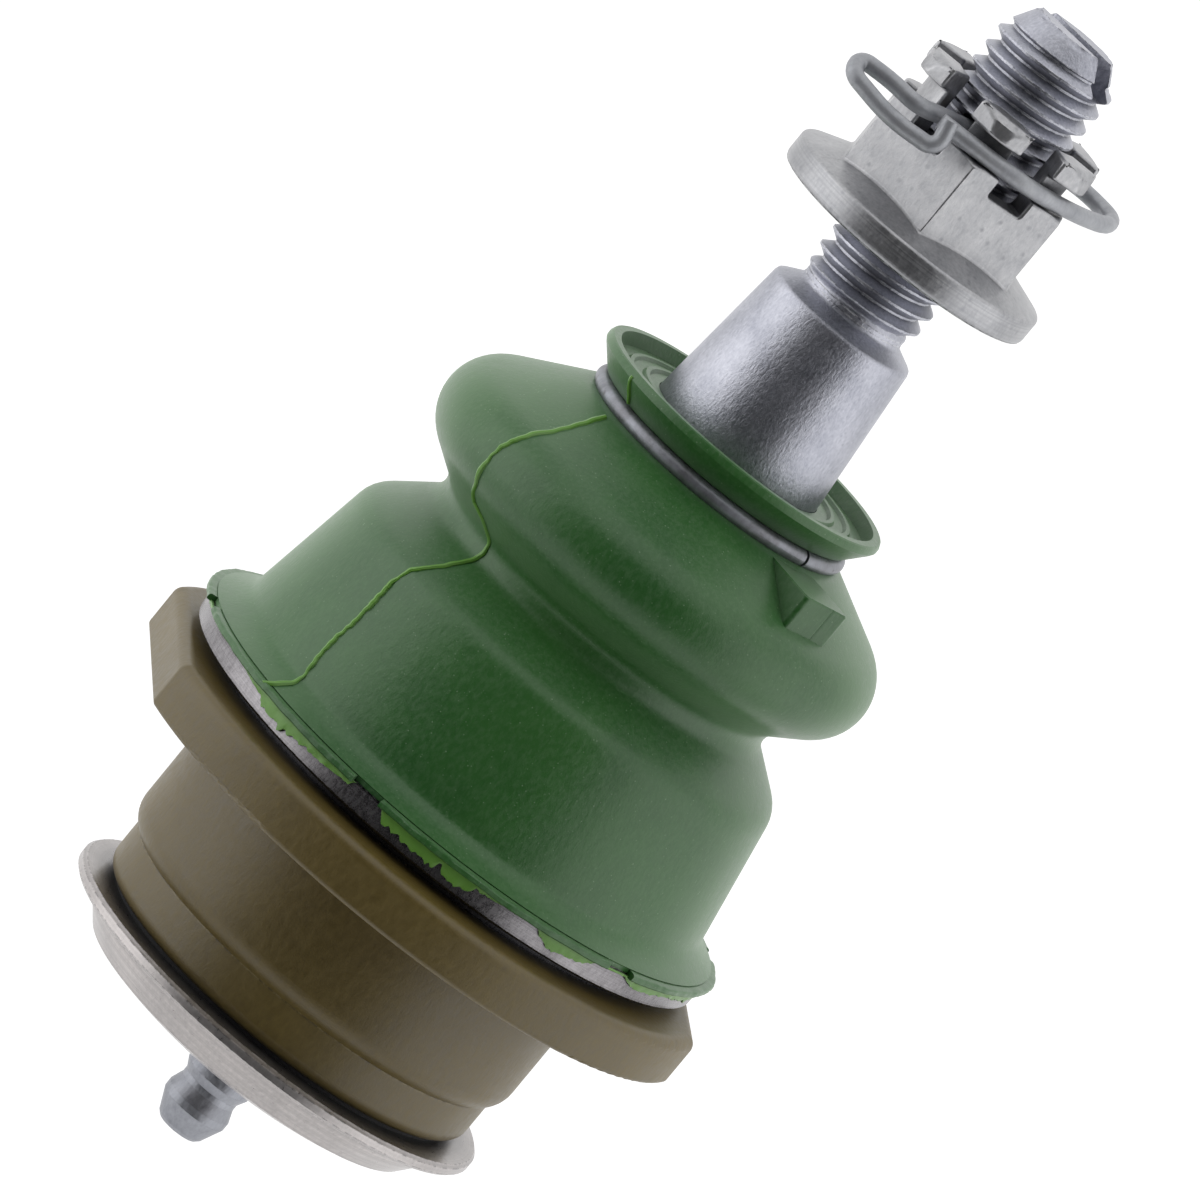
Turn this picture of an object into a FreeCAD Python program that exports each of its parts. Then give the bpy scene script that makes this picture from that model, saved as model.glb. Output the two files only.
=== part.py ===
import FreeCAD, Part
import math
import os

# Suspension ball joint, in millimetres.
# The origin is on the stud's axis, in the plane of the flange's seating face.
# +Z runs along the stud to its threaded tip, and -Y is the front.
# Azimuths are counted from the front, positive towards +X.

# Forged housing: a flange with two flats, a pressed barrel below and a boss above
flange_r = 30.8
flange_height = 4.9
flange_flat_distance = 28.4
flange_flat_azimuth = -77.2
flange_top_round = 1.1
flange_bottom_round = 0.5
flange_corner_round = 1.0
barrel_r = 20.8
barrel_step_z = -10.4
barrel_step_round = 2.5
barrel_tail_r = 19.8
barrel_end_z = -16.9
barrel_end_round = 1.25
boss_r = 19.6
boss_top_z = 8.8
boss_edge_bevel = 0.6
bore_r = 17.0
bore_shoulder_z = 3.0
mouth_throat_r = 12.4
mouth_rim_r = 15.6

# Ball stud
ball_centre_z = -3.5
ball_r = 13.5
ball_flat_depth = 11.2
neck_r = 6.8
neck_fillet_r = 1.2
neck_straight_z = 14.0
seal_land_r = 9.0
seal_land_start_z = 34.0
taper_start_z = 44.0
taper_end_r = 7.35
taper_end_z = 61.5
relief_r = 5.3
relief_start_z = 62.5
thread_start_z = 64.4
thread_r = 5.86
thread_end_z = 91.7
thread_lead_in = 0.6
nose_base_r = 5.2
nose_top_r = 4.0
stud_top_z = 93.65
screwdriver_slot_width = 2.6
screwdriver_slot_floor_z = 90.5
screwdriver_slot_azimuth = 62.0
cross_hole_r = 1.2
cross_hole_z = 81.95
cross_hole_azimuth = -30.0

# Bearings and the preload stack under the ball
seat_clearance = 0.05
upper_bearing_base_z = -3.4
lower_bearing_top_z = -3.9
lower_bearing_step_z = -12.0
lower_bearing_end_z = -18.2
lower_bearing_tail_r = 15.6
grease_hole_r = 3.2
seat_washer_thickness = 1.0
seat_washer_bore_r = 4.6
seat_washer_r = 14.6
disc_spring_bore_r = 6.4
disc_spring_r = 12.6
disc_spring_thickness = 0.8
disc_spring_cone = 0.65

# Turned cover with its seal and the grease nipple driven into it
cover_skirt_wall = 1.2
cover_skirt_top_z = -12.3
cover_lip_r = 21.95
cover_lip_top_z = -17.3
cover_lip_height = 1.27
cover_lip_edge = 0.3
cover_dome_r = 19.9
# Its outside below the lip as (radius, height above the bottom): the band's edge, then the shoulder
cover_band_edge = (18.95, 3.85)
cover_shoulder = (17.6, 2.15)
cover_flat_r = 5.0
cover_bottom_z = -23.95
cover_floor = 1.85
cover_inner_corner = (14.9, 1.25)
cover_inner_turn = (13.0, 0.35)
cover_inner_flat_r = 7.0
cover_skirt_floor_z = -18.9
cover_seal_r = 18.5
nipple_shank_r = 3.0
nipple_shank_top_z = -21.3
nipple_body_r = 3.3
nipple_body_end_z = -26.3
nipple_neck_r = 2.82
nipple_neck_top_z = -27.2
nipple_neck_end_z = -27.8
nipple_head_r = 3.26
nipple_head_top_z = -29.0
nipple_head_end_z = -29.75
nipple_tip_r = 2.35
nipple_tip_z = -32.1
nipple_tip_edge = 0.35
nipple_bore_r = 1.4
nipple_mouth_r = 0.9
nipple_seat_height = 0.95
nipple_spring_stop_z = -23.8
nipple_grease_hole_r = 0.8
check_ball_r = 1.2
check_ball_z = -30.0
check_spring_wire_r = 0.16
check_spring_coil_r = 0.95
check_spring_turns = 4
check_spring_turn_points = 6

# Dust boot, its steel base ring and the wire ring round its collar
base_ring_r = 27.6
base_ring_edge = 0.2
base_ring_foot_r = 25.0
base_ring_foot_height = 1.0
base_ring_top_z = 8.2
boot_rim_r = 28.35
boot_rim_lower_z = 7.95
# The rim's top as (radius, z), from its outer edge to the cup's foot
boot_rim_top = [(28.35, 8.6), (28.0, 8.85), (26.9, 9.25), (25.9, 9.7)]
boot_rim_floor_z = 9.2
boot_rim_inner = (20.0, 9.6)
boot_wall = 2.0
# Its outer form above the rim as corners (radius, z, rounding): cup foot, cup top, waist, bulge, collar
boot_corners = [(25.1, 10.6, 0), (22.85, 23.5, 3.05), (16.8, 28.4, 1.75), (27.4, 36.0, 4.75),
                (14.3, 43.4, 0)]
boot_notch_count = 6
boot_notch_width = 3.2
boot_notch_azimuth = -12.0
boot_notch_top_z = 8.7
collar_r = 15.1
collar_top_z = 48.2
collar_lip_height = 0.9
collar_lip_edge = 0.2
collar_recess_r = 13.3
collar_recess_edge = 0.3
collar_recess_depth = 1.0
collar_rib_radii = (12.05, 10.3)
collar_rib_height = 0.35
collar_bore_gap = 0.1
clamp_ring_centre_r = 12.95
clamp_ring_wire_r = 0.8
clamp_ring_z = 44.4
clamp_ring_gap_azimuth = 52.0
clamp_ring_gap_width = 0.35
lug_azimuth = 47.8
lug_width = 5.9
lug_reach = 20.0
lug_inner_reach = 12.6
lug_bottom_z = 38.5
lug_top_z = 43.5
lug_edge_round = 0.4

# Castle nut with a groove for the wire clip
nut_base_z = 69.6
nut_flange_r = 13.1
nut_flange_edge = 2.6
nut_flange_bevel = 0.3
nut_cone_rise = 0.38
nut_across_flats = 18.0
nut_hexagon_azimuth = 1.7
nut_corner_r = 10.33
nut_shoulder_bevel = (0.7, 0.25)
nut_bore_r = 5.9
nut_bore_bevel = 0.6
nut_groove_r = 8.0
nut_groove_bottom_z = 81.0
nut_groove_top_z = 83.6
nut_crown_r = 10.0
nut_crown_shoulder = (9.7, 85.0)
nut_crown_edge_r = 9.1
nut_top_z = 85.6
nut_mouth_r = 6.4
nut_slot_width = 3.8
nut_slot_floor_z = 79.15
nut_slot_count = 6

# Wire clip. Its points are (right, forward, z), and it lies in the nut's groove across the front
clip_wire_r = 0.79
clip_groove_path_r = 9.3
clip_front_z = 81.9
clip_groove_azimuths = (64, 36, 8)
clip_free_end = (-4.4, 10.0, 81.85)
clip_hook_and_left_loop = [(-3.7, 11.2, 82.5), (-3.1, 11.8, 79.9), (-7.9, 12.3, 79.6), (-12.9, 11.4, 80.4),
                           (-13.2, 9.5, 81.6), (-9.8, 9.7, 81.8), (-6.9, 10.1, 81.6)]
clip_leg_reach = (8.8, 11.3)
clip_right_loop = [(9.2, -11.0, 82.0), (12.5, -8.7, 82.0), (12.5, -3.6, 81.95), (10.4, 0.8, 81.9)]

ORIGIN = FreeCAD.Vector(0, 0, 0)
UP = FreeCAD.Vector(0, 0, 1)


def at(radius, azimuth, z=0.0):
    angle = math.radians(azimuth)
    return FreeCAD.Vector(radius * math.sin(angle), -radius * math.cos(angle), z)


def section_point(point):
    return FreeCAD.Vector(point[0], 0, point[1])


def turned(start, *steps):
    # Revolves a closed half section of (radius, z) points about the stud's axis.
    # A step is a point, or an (on the arc, end) pair of points.
    edges = []
    here = section_point(start)
    for step in steps + (start,):
        if isinstance(step[0], tuple):
            middle, end = (section_point(p) for p in step)
            edges.append(Part.Arc(here, middle, end).toShape())
            here = end
        else:
            end = section_point(step)
            if end.distanceToPoint(here) > 1e-6:
                edges.append(Part.makeLine(here, end))
            here = end
    return Part.Face(Part.Wire(edges)).revolve(ORIGIN, UP, 360)


def disc(radius, low_z, high_z):
    return Part.makeCylinder(radius, high_z - low_z, FreeCAD.Vector(0, 0, low_z))


def hexagon(across_flats, corner_azimuth, low_z, high_z):
    corner_r = across_flats / math.sqrt(3)
    corners = [at(corner_r, corner_azimuth + 60 * i, low_z) for i in range(7)]
    return Part.Face(Part.makePolygon(corners)).extrude(UP * (high_z - low_z))


def radial_bar(azimuth, width, inner, outer, low_z, high_z):
    # A bar along a radius, centred on its azimuth.
    bar = Part.makeBox(width, outer - inner, high_z - low_z)
    bar.translate(FreeCAD.Vector(-width / 2, -outer, low_z))
    bar.rotate(ORIGIN, UP, azimuth)
    return bar


def rounded_path(points, share=0.45):
    # Straight runs joined by tangent arcs, each using a share of the shorter run beside it.
    edges = []
    here = points[0]
    for before, corner, after in zip(points, points[1:], points[2:]):
        back = (before - corner).normalize()
        ahead = (after - corner).normalize()
        setback = share * min(before.distanceToPoint(corner), after.distanceToPoint(corner))
        start = corner + back * setback
        end = corner + ahead * setback
        half_angle = back.getAngle(ahead) / 2
        inwards = (back + ahead).normalize()
        radius = setback * math.tan(half_angle)
        middle = corner + inwards * (setback / math.cos(half_angle) - radius)
        edges.append(Part.makeLine(here, start))
        edges.append(Part.Arc(start, middle, end).toShape())
        here = end
    edges.append(Part.makeLine(here, points[-1]))
    return Part.Wire(edges)


def wire_along(path, radius, mitred=False):
    first = path.Edges[0]
    start = first.valueAt(first.FirstParameter)
    direction = first.tangentAt(first.FirstParameter)
    section = Part.Wire(Part.Circle(start, direction, radius).toShape())
    return path.makePipeShell([section], True, True, 1 if mitred else 0)


def slope_radius(z):
    # Radius of the stud's taper, which grows towards the ball.
    taper = (seal_land_r - taper_end_r) / (taper_end_z - taper_start_z)
    return taper_end_r + (taper_end_z - z) * taper


def make_housing():
    half_chord = math.degrees(math.acos(flange_flat_distance / flange_r))
    corners = []
    for side in (0, 180):
        corners.append(at(flange_r, flange_flat_azimuth + side - half_chord))
        corners.append(at(flange_r, flange_flat_azimuth + side + half_chord))
    round_middles = [at(flange_r, flange_flat_azimuth + side) for side in (90, 270)]
    outline = Part.Wire([
        Part.makeLine(corners[0], corners[1]),
        Part.Arc(corners[1], round_middles[0], corners[2]).toShape(),
        Part.makeLine(corners[2], corners[3]),
        Part.Arc(corners[3], round_middles[1], corners[0]).toShape(),
    ])
    flange = Part.Face(outline).extrude(UP * flange_height)
    if flange.Volume < 0:
        flange.reverse()
    upright = [e for e in flange.Edges if abs(e.BoundBox.ZLength - flange_height) < 1e-6]
    flange = flange.makeFillet(flange_corner_round, upright)
    top_edges = [e for e in flange.Edges if e.BoundBox.ZMin > flange_height - 1e-6]
    flange = flange.makeFillet(flange_top_round, top_edges)
    bottom_edges = [e for e in flange.Edges if e.BoundBox.ZMax < 1e-6]
    flange = flange.makeFillet(flange_bottom_round, bottom_edges)

    # The barrel rounds inwards to a corner on its tail, and the tail's end is a quarter round.
    step_turn = math.acos(1 - (barrel_r - barrel_tail_r) / barrel_step_round)

    def on_step(share):
        return (barrel_r - barrel_step_round * (1 - math.cos(step_turn * share)),
                barrel_step_z - barrel_step_round * math.sin(step_turn * share))

    end_middle = barrel_end_round * (1 - math.sqrt(0.5))
    core = turned(
        (bore_r, barrel_end_z),
        (barrel_tail_r - barrel_end_round, barrel_end_z),
        ((barrel_tail_r - end_middle, barrel_end_z + end_middle), (barrel_tail_r, barrel_end_z + barrel_end_round)),
        on_step(1),
        (on_step(0.5), on_step(0)),
        (barrel_r, flange_height / 2),
        (boss_r, flange_height / 2),
        (boss_r, boss_top_z - boss_edge_bevel),
        (boss_r - boss_edge_bevel, boss_top_z),
        (mouth_rim_r, boss_top_z),
        (mouth_throat_r, bore_shoulder_z),
        (bore_r, bore_shoulder_z),
    )
    hole = disc(boss_r - 1, -1, flange_height + 1)
    return flange.cut(hole).fuse(core).removeSplitter()


def make_ball_stud():
    flat_r = math.sqrt(ball_r ** 2 - ball_flat_depth ** 2)
    # The fillet between ball and neck is tangent to both.
    fillet_height = math.sqrt((ball_r + neck_fillet_r) ** 2 - (neck_r + neck_fillet_r) ** 2)
    fillet_centre = (neck_r + neck_fillet_r, ball_centre_z + fillet_height)
    on_ball = (
        fillet_centre[0] * ball_r / (ball_r + neck_fillet_r),
        ball_centre_z + fillet_height * ball_r / (ball_r + neck_fillet_r),
    )
    fillet_turn = math.radians(25)
    on_fillet = (
        fillet_centre[0] - neck_fillet_r * math.cos(fillet_turn),
        fillet_centre[1] - neck_fillet_r * math.sin(fillet_turn),
    )
    body = turned(
        (0, ball_centre_z - ball_flat_depth),
        (flat_r, ball_centre_z - ball_flat_depth),
        ((ball_r, ball_centre_z), on_ball),
        (on_fillet, (neck_r, fillet_centre[1])),
        (neck_r, neck_straight_z),
        (seal_land_r, seal_land_start_z),
        (seal_land_r, taper_start_z),
        (taper_end_r, taper_end_z),
        (relief_r, relief_start_z),
        (relief_r, thread_start_z - thread_lead_in),
        (thread_r, thread_start_z),
        (thread_r, thread_end_z - thread_lead_in),
        (nose_base_r, thread_end_z),
        (nose_top_r, stud_top_z),
        (0, stud_top_z),
    )
    slot = radial_bar(screwdriver_slot_azimuth, screwdriver_slot_width, -2 * thread_r, 2 * thread_r,
                      screwdriver_slot_floor_z, stud_top_z + 1)
    hole_start = at(-2 * thread_r, cross_hole_azimuth, cross_hole_z)
    cross_hole = Part.makeCylinder(cross_hole_r, 4 * thread_r, hole_start, at(1, cross_hole_azimuth))
    return body.cut(slot).cut(cross_hole)


def make_upper_bearing():
    ring = disc(bore_r, upper_bearing_base_z, bore_shoulder_z)
    seat = Part.makeSphere(ball_r + seat_clearance, FreeCAD.Vector(0, 0, ball_centre_z))
    return ring.cut(seat)


def make_lower_bearing():
    block = turned(
        (grease_hole_r, lower_bearing_end_z),
        (lower_bearing_tail_r, lower_bearing_end_z),
        (lower_bearing_tail_r, lower_bearing_step_z),
        (bore_r, lower_bearing_step_z),
        (bore_r, lower_bearing_top_z),
        (grease_hole_r, lower_bearing_top_z),
    )
    seat = Part.makeSphere(ball_r + seat_clearance, FreeCAD.Vector(0, 0, ball_centre_z))
    return block.cut(seat)


def make_seat_washer():
    low_z = lower_bearing_end_z - seat_washer_thickness
    return disc(seat_washer_r, low_z, lower_bearing_end_z).cut(
        disc(seat_washer_bore_r, low_z, lower_bearing_end_z))


def make_disc_spring(inner_z, outer_z):
    # A coned washer, from its top inner edge to its top outer edge.
    return turned(
        (disc_spring_bore_r, inner_z),
        (disc_spring_bore_r, inner_z - disc_spring_thickness),
        (disc_spring_r, outer_z - disc_spring_thickness),
        (disc_spring_r, outer_z),
    )


def make_cover():
    skirt_r = bore_r - cover_skirt_wall
    lip_bottom_z = cover_lip_top_z - cover_lip_height
    inner_floor_z = cover_bottom_z + cover_floor
    shoulder_r, shoulder_rise = cover_shoulder
    # The bottom curves up to the shoulder on an arc that starts level at the flat's edge.
    reach = shoulder_r - cover_flat_r
    curve_r = (reach ** 2 + shoulder_rise ** 2) / (2 * shoulder_rise)
    half_turn = math.asin(reach / curve_r) / 2
    on_curve = (cover_flat_r + curve_r * math.sin(half_turn),
                cover_bottom_z + curve_r * (1 - math.cos(half_turn)))
    return turned(
        (nipple_shank_r, cover_bottom_z),
        (cover_flat_r, cover_bottom_z),
        (on_curve, (shoulder_r, cover_bottom_z + shoulder_rise)),
        (cover_band_edge[0], cover_bottom_z + cover_band_edge[1]),
        (cover_dome_r, lip_bottom_z),
        (cover_lip_r - cover_lip_edge, lip_bottom_z),
        (cover_lip_r, lip_bottom_z + cover_lip_edge),
        (cover_lip_r, cover_lip_top_z - cover_lip_edge),
        (cover_lip_r - cover_lip_edge, cover_lip_top_z),
        (bore_r, cover_lip_top_z),
        (bore_r, cover_skirt_top_z),
        (skirt_r, cover_skirt_top_z),
        (skirt_r, cover_skirt_floor_z),
        (cover_inner_corner[0], inner_floor_z + cover_inner_corner[1]),
        (cover_inner_turn[0], inner_floor_z + cover_inner_turn[1]),
        (cover_inner_flat_r, inner_floor_z),
        (nipple_shank_r, inner_floor_z),
    )


def make_cover_seal():
    return disc(cover_seal_r, cover_lip_top_z, barrel_end_z).cut(
        disc(bore_r, cover_lip_top_z, barrel_end_z))


def make_nipple_body():
    return turned(
        (nipple_mouth_r, nipple_tip_z),
        (nipple_tip_r - nipple_tip_edge, nipple_tip_z),
        (nipple_tip_r, nipple_tip_z + nipple_tip_edge),
        (nipple_head_r, nipple_head_end_z),
        (nipple_head_r, nipple_head_top_z),
        (nipple_neck_r, nipple_neck_end_z),
        (nipple_neck_r, nipple_neck_top_z),
        (nipple_body_r, nipple_body_end_z),
        (nipple_body_r, cover_bottom_z),
        (nipple_shank_r, cover_bottom_z),
        (nipple_shank_r, nipple_shank_top_z),
        (nipple_grease_hole_r, nipple_shank_top_z),
        (nipple_grease_hole_r, nipple_spring_stop_z),
        (nipple_bore_r, nipple_spring_stop_z),
        (nipple_bore_r, check_ball_z),
        (nipple_mouth_r, check_ball_z - nipple_seat_height),
    )


def make_check_ball():
    return Part.makeSphere(check_ball_r, FreeCAD.Vector(0, 0, check_ball_z))


def make_check_spring():
    # The lowest turn rests on the ball, the highest against the step in the nipple's bore.
    low_z = check_ball_z + math.sqrt((check_ball_r + check_spring_wire_r) ** 2 - check_spring_coil_r ** 2)
    high_z = nipple_spring_stop_z - check_spring_wire_r
    steps = check_spring_turns * check_spring_turn_points
    corner_r = check_spring_coil_r / math.cos(math.pi / check_spring_turn_points)
    points = [at(corner_r, 360 / check_spring_turn_points * i, low_z + (high_z - low_z) * i / steps)
              for i in range(steps + 1)]
    return wire_along(Part.makePolygon(points), check_spring_wire_r, mitred=True)


def make_base_ring():
    foot_top_z = flange_height + base_ring_foot_height
    return turned(
        (boss_r, flange_height),
        (base_ring_foot_r, flange_height),
        (base_ring_foot_r, foot_top_z),
        (base_ring_r - base_ring_edge, foot_top_z),
        (base_ring_r, foot_top_z + base_ring_edge),
        (base_ring_r, base_ring_top_z),
        (boss_r, base_ring_top_z),
    )


def moved_inwards(corners, wall):
    # The same corners for a wall's inner side. Outer roundings shrink and inner ones grow.
    moved = []
    for i, (r, z, rounding) in enumerate(corners):
        before = corners[max(i - 1, 0)]
        after = corners[min(i + 1, len(corners) - 1)]
        first = math.atan2(z - before[1], r - before[0]) if i > 0 else None
        second = math.atan2(after[1] - z, after[0] - r) if i < len(corners) - 1 else first
        first = second if first is None else first
        turn = second - first
        inwards = (first + second) / 2 + math.pi / 2
        reach = wall / math.cos(turn / 2)
        moved.append((r + reach * math.cos(inwards), z + reach * math.sin(inwards),
                      max(rounding - math.copysign(wall, turn), 0)))
    return moved


def rounded_steps(corners, bevelled=False):
    # Steps for turned() along the corners, with a tangent arc or its chord at each rounded one.
    steps = []
    for before, (r, z, rounding), after in zip(corners, corners[1:], corners[2:]):
        corner = FreeCAD.Vector(r, z, 0)
        back = (FreeCAD.Vector(before[0], before[1], 0) - corner).normalize()
        ahead = (FreeCAD.Vector(after[0], after[1], 0) - corner).normalize()
        half_angle = back.getAngle(ahead) / 2
        start = corner + back * (rounding / math.tan(half_angle))
        end = corner + ahead * (rounding / math.tan(half_angle))
        middle = corner + (back + ahead).normalize() * (rounding / math.sin(half_angle) - rounding)
        steps.append((start.x, start.y))
        end_point = (end.x, end.y)
        steps.append(end_point if bevelled else ((middle.x, middle.y), end_point))
    steps.append(corners[-1][:2])
    return steps


def make_dust_boot():
    bore = slope_radius(collar_top_z - collar_recess_depth) + collar_bore_gap
    lower_bore = seal_land_r + collar_bore_gap
    recess_z = collar_top_z - collar_recess_depth
    groove_floor_r = clamp_ring_centre_r - clamp_ring_wire_r
    lining = moved_inwards(boot_corners, boot_wall)[::-1]
    collar_neck_z = lining[0][1]
    shell = turned(
        (boss_r, base_ring_top_z),
        (base_ring_r, base_ring_top_z),
        (base_ring_r, boot_rim_lower_z),
        (boot_rim_r, boot_rim_lower_z),
        *boot_rim_top,
        boot_corners[0][:2],
        *rounded_steps(boot_corners),
        (groove_floor_r, clamp_ring_z - clamp_ring_wire_r),
        (groove_floor_r, clamp_ring_z + clamp_ring_wire_r),
        (collar_r, collar_top_z - collar_lip_height),
        (collar_r - collar_lip_edge, collar_top_z - collar_lip_edge),
        (collar_recess_r + collar_recess_edge, collar_top_z),
        (collar_recess_r, recess_z),
        (bore, recess_z),
        (lower_bore, taper_start_z),
        (lower_bore, collar_neck_z),
        lining[0][:2],
        *rounded_steps(lining, bevelled=True),
        boot_rim_inner,
        (boss_r, boot_rim_floor_z),
    )
    for radius in collar_rib_radii:
        shell = shell.fuse(turned((radius - collar_rib_height, recess_z), (radius + collar_rib_height, recess_z),
                                  (radius, recess_z + collar_rib_height)))
    core = turned((0, lining[-1][1]), (0, lining[0][1]), lining[0][:2],
                  *rounded_steps(lining, bevelled=True))
    lug = radial_bar(lug_azimuth, lug_width, lug_inner_reach, lug_reach, lug_bottom_z, lug_top_z)
    outer_edges = [e for e in lug.Edges if abs(e.BoundBox.ZLength - (lug_top_z - lug_bottom_z)) < 1e-6]
    lug = lug.makeFillet(lug_edge_round, outer_edges)
    shell = shell.fuse(lug.cut(core))
    for i in range(boot_notch_count):
        azimuth = boot_notch_azimuth + 360 / boot_notch_count * i
        shell = shell.cut(radial_bar(azimuth, boot_notch_width, base_ring_r, boot_rim_r + 1,
                                     boot_rim_lower_z - 1, boot_notch_top_z))
    return shell


def make_clamp_ring():
    # The wire's two ends nearly meet.
    gap_angle = math.degrees(clamp_ring_gap_width / clamp_ring_centre_r)
    start = at(clamp_ring_centre_r, clamp_ring_gap_azimuth + gap_angle / 2, clamp_ring_z)
    along = UP.cross(start)
    section = Part.Face(Part.Wire(Part.Circle(start, along, clamp_ring_wire_r).toShape()))
    return section.revolve(ORIGIN, UP, 360 - gap_angle)


def make_castle_nut():
    cone_base_z = nut_base_z + nut_flange_edge
    cone_top_z = cone_base_z + nut_cone_rise * (nut_flange_r - nut_groove_r)
    flange = turned(
        (0, nut_base_z),
        (nut_flange_r - nut_flange_bevel, nut_base_z),
        (nut_flange_r, nut_base_z + nut_flange_bevel),
        (nut_flange_r, cone_base_z),
        (nut_groove_r, cone_top_z),
        (0, cone_top_z),
    )
    envelope = turned(
        (0, nut_base_z + 1),
        (nut_corner_r, nut_base_z + 1),
        (nut_corner_r, nut_groove_bottom_z - nut_shoulder_bevel[1]),
        (nut_corner_r - nut_shoulder_bevel[0], nut_groove_bottom_z),
        (nut_groove_r, nut_groove_bottom_z),
        (nut_groove_r, nut_groove_top_z),
        (nut_crown_r, nut_groove_top_z),
        nut_crown_shoulder,
        (nut_crown_edge_r, nut_top_z),
        (0, nut_top_z),
    )
    body = hexagon(nut_across_flats, nut_hexagon_azimuth, nut_base_z + 1, nut_top_z).common(envelope)
    nut = flange.fuse(body)
    hole = turned(
        (0, nut_base_z - 1),
        (nut_bore_r + nut_bore_bevel, nut_base_z - 1),
        (nut_bore_r + nut_bore_bevel, nut_base_z),
        (nut_bore_r, nut_base_z + nut_bore_bevel),
        (nut_bore_r, nut_slot_floor_z),
        (nut_mouth_r, nut_slot_floor_z + 0.5),
        (nut_mouth_r, nut_top_z + 1),
        (0, nut_top_z + 1),
    )
    nut = nut.cut(hole)
    for i in range(nut_slot_count):
        azimuth = cross_hole_azimuth + 360 / nut_slot_count * i
        nut = nut.cut(radial_bar(azimuth, nut_slot_width, 0, nut_flange_r,
                                 nut_slot_floor_z, nut_top_z + 1))
    return nut


def make_lock_clip():
    # From the front hook round the left loop, through the stud, round the right loop and back along
    # the nut's groove to the free end behind the hook.
    points = [FreeCAD.Vector(x, -forward, z) for x, forward, z in clip_hook_and_left_loop]
    points.append(at(clip_leg_reach[0], cross_hole_azimuth, cross_hole_z))
    points.append(at(clip_leg_reach[1], cross_hole_azimuth + 180, cross_hole_z))
    points += [FreeCAD.Vector(x, -forward, z) for x, forward, z in clip_right_loop]
    points += [at(clip_groove_path_r, azimuth, clip_front_z) for azimuth in clip_groove_azimuths]
    points.append(FreeCAD.Vector(clip_free_end[0], -clip_free_end[1], clip_free_end[2]))
    return wire_along(rounded_path(points), clip_wire_r)


def save(name, shape):
    if not shape.isValid():
        raise ValueError(name + " isn't a valid shape")
    solids = shape.Solids
    if len(solids) != 1:
        raise ValueError(name + " has " + str(len(solids)) + " solids")
    solid = solids[0]
    solid.exportStep("parts/" + name + ".step")
    print(name, "volume", round(solid.Volume, 1), "faces", len(solid.Faces))


os.makedirs("parts", exist_ok=True)
washer_floor_z = lower_bearing_end_z - seat_washer_thickness
spring_joint_z = washer_floor_z - disc_spring_cone
save("housing", make_housing())
save("upper_bearing", make_upper_bearing())
save("lower_bearing", make_lower_bearing())
save("spring_seat_washer", make_seat_washer())
save("disc_spring_upper", make_disc_spring(washer_floor_z, spring_joint_z))
save("disc_spring_lower", make_disc_spring(spring_joint_z - disc_spring_thickness - disc_spring_cone,
                                           spring_joint_z - disc_spring_thickness))
save("cover", make_cover())
save("cover_seal", make_cover_seal())
save("nipple_body", make_nipple_body())
save("nipple_check_ball", make_check_ball())
save("nipple_spring", make_check_spring())
save("boot_base_ring", make_base_ring())
save("dust_boot", make_dust_boot())
save("boot_clamp_ring", make_clamp_ring())
save("ball_stud", make_ball_stud())
save("castle_nut", make_castle_nut())
save("lock_clip", make_lock_clip())
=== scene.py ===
"""Dresses the suspension ball joint's frame: boot, threads, nut, finishes, lights and camera."""
import math

import bmesh
import bpy
from bpy.props import FloatProperty, FloatVectorProperty, IntProperty, PointerProperty
from mathutils import Matrix, Quaternion, Vector, noise


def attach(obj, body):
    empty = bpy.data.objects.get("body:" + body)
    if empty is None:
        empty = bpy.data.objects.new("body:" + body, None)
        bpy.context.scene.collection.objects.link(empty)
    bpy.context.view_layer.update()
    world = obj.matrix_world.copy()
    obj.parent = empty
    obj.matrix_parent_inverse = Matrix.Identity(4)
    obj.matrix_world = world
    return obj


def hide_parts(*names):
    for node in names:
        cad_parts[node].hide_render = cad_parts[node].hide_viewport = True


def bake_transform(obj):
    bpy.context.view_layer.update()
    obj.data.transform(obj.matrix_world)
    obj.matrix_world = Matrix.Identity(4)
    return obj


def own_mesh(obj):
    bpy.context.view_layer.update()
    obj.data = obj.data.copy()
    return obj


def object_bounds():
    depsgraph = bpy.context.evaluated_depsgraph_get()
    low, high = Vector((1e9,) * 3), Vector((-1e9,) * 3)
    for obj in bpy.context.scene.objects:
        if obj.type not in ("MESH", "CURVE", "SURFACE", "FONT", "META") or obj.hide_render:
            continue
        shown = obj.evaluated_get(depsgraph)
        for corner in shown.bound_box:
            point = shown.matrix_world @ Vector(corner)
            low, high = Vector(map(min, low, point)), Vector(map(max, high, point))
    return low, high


bl_info = {
    "name": "Suspension ball joint looks",
    "version": (1, 0, 0),
    "blender": (4, 5, 0),
    "location": "View3D > Sidebar > Ball joint",
    "description": "Dresses the ball joint's frame with its boot, threads, finishes and stage",
    "category": "Object",
}

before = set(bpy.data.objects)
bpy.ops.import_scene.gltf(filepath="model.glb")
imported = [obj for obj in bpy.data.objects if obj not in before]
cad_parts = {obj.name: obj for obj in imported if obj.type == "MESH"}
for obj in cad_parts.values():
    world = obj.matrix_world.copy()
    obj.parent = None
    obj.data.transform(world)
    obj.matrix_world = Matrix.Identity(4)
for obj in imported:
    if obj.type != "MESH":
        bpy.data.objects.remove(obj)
cad_low, cad_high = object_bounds()

MM = 0.001
AXIS = (0, 0, 1)
CENTRE = (0, 0, 0)

# Points closer together than this are one point.
WELD = 2e-3 * MM

# The middle of the stud's ball, and the stud's cross hole that the clip passes through.
BALL_Z = -3.5 * MM
HOLE_Z = 81.95 * MM
HOLE_AZIMUTH = -30


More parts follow.
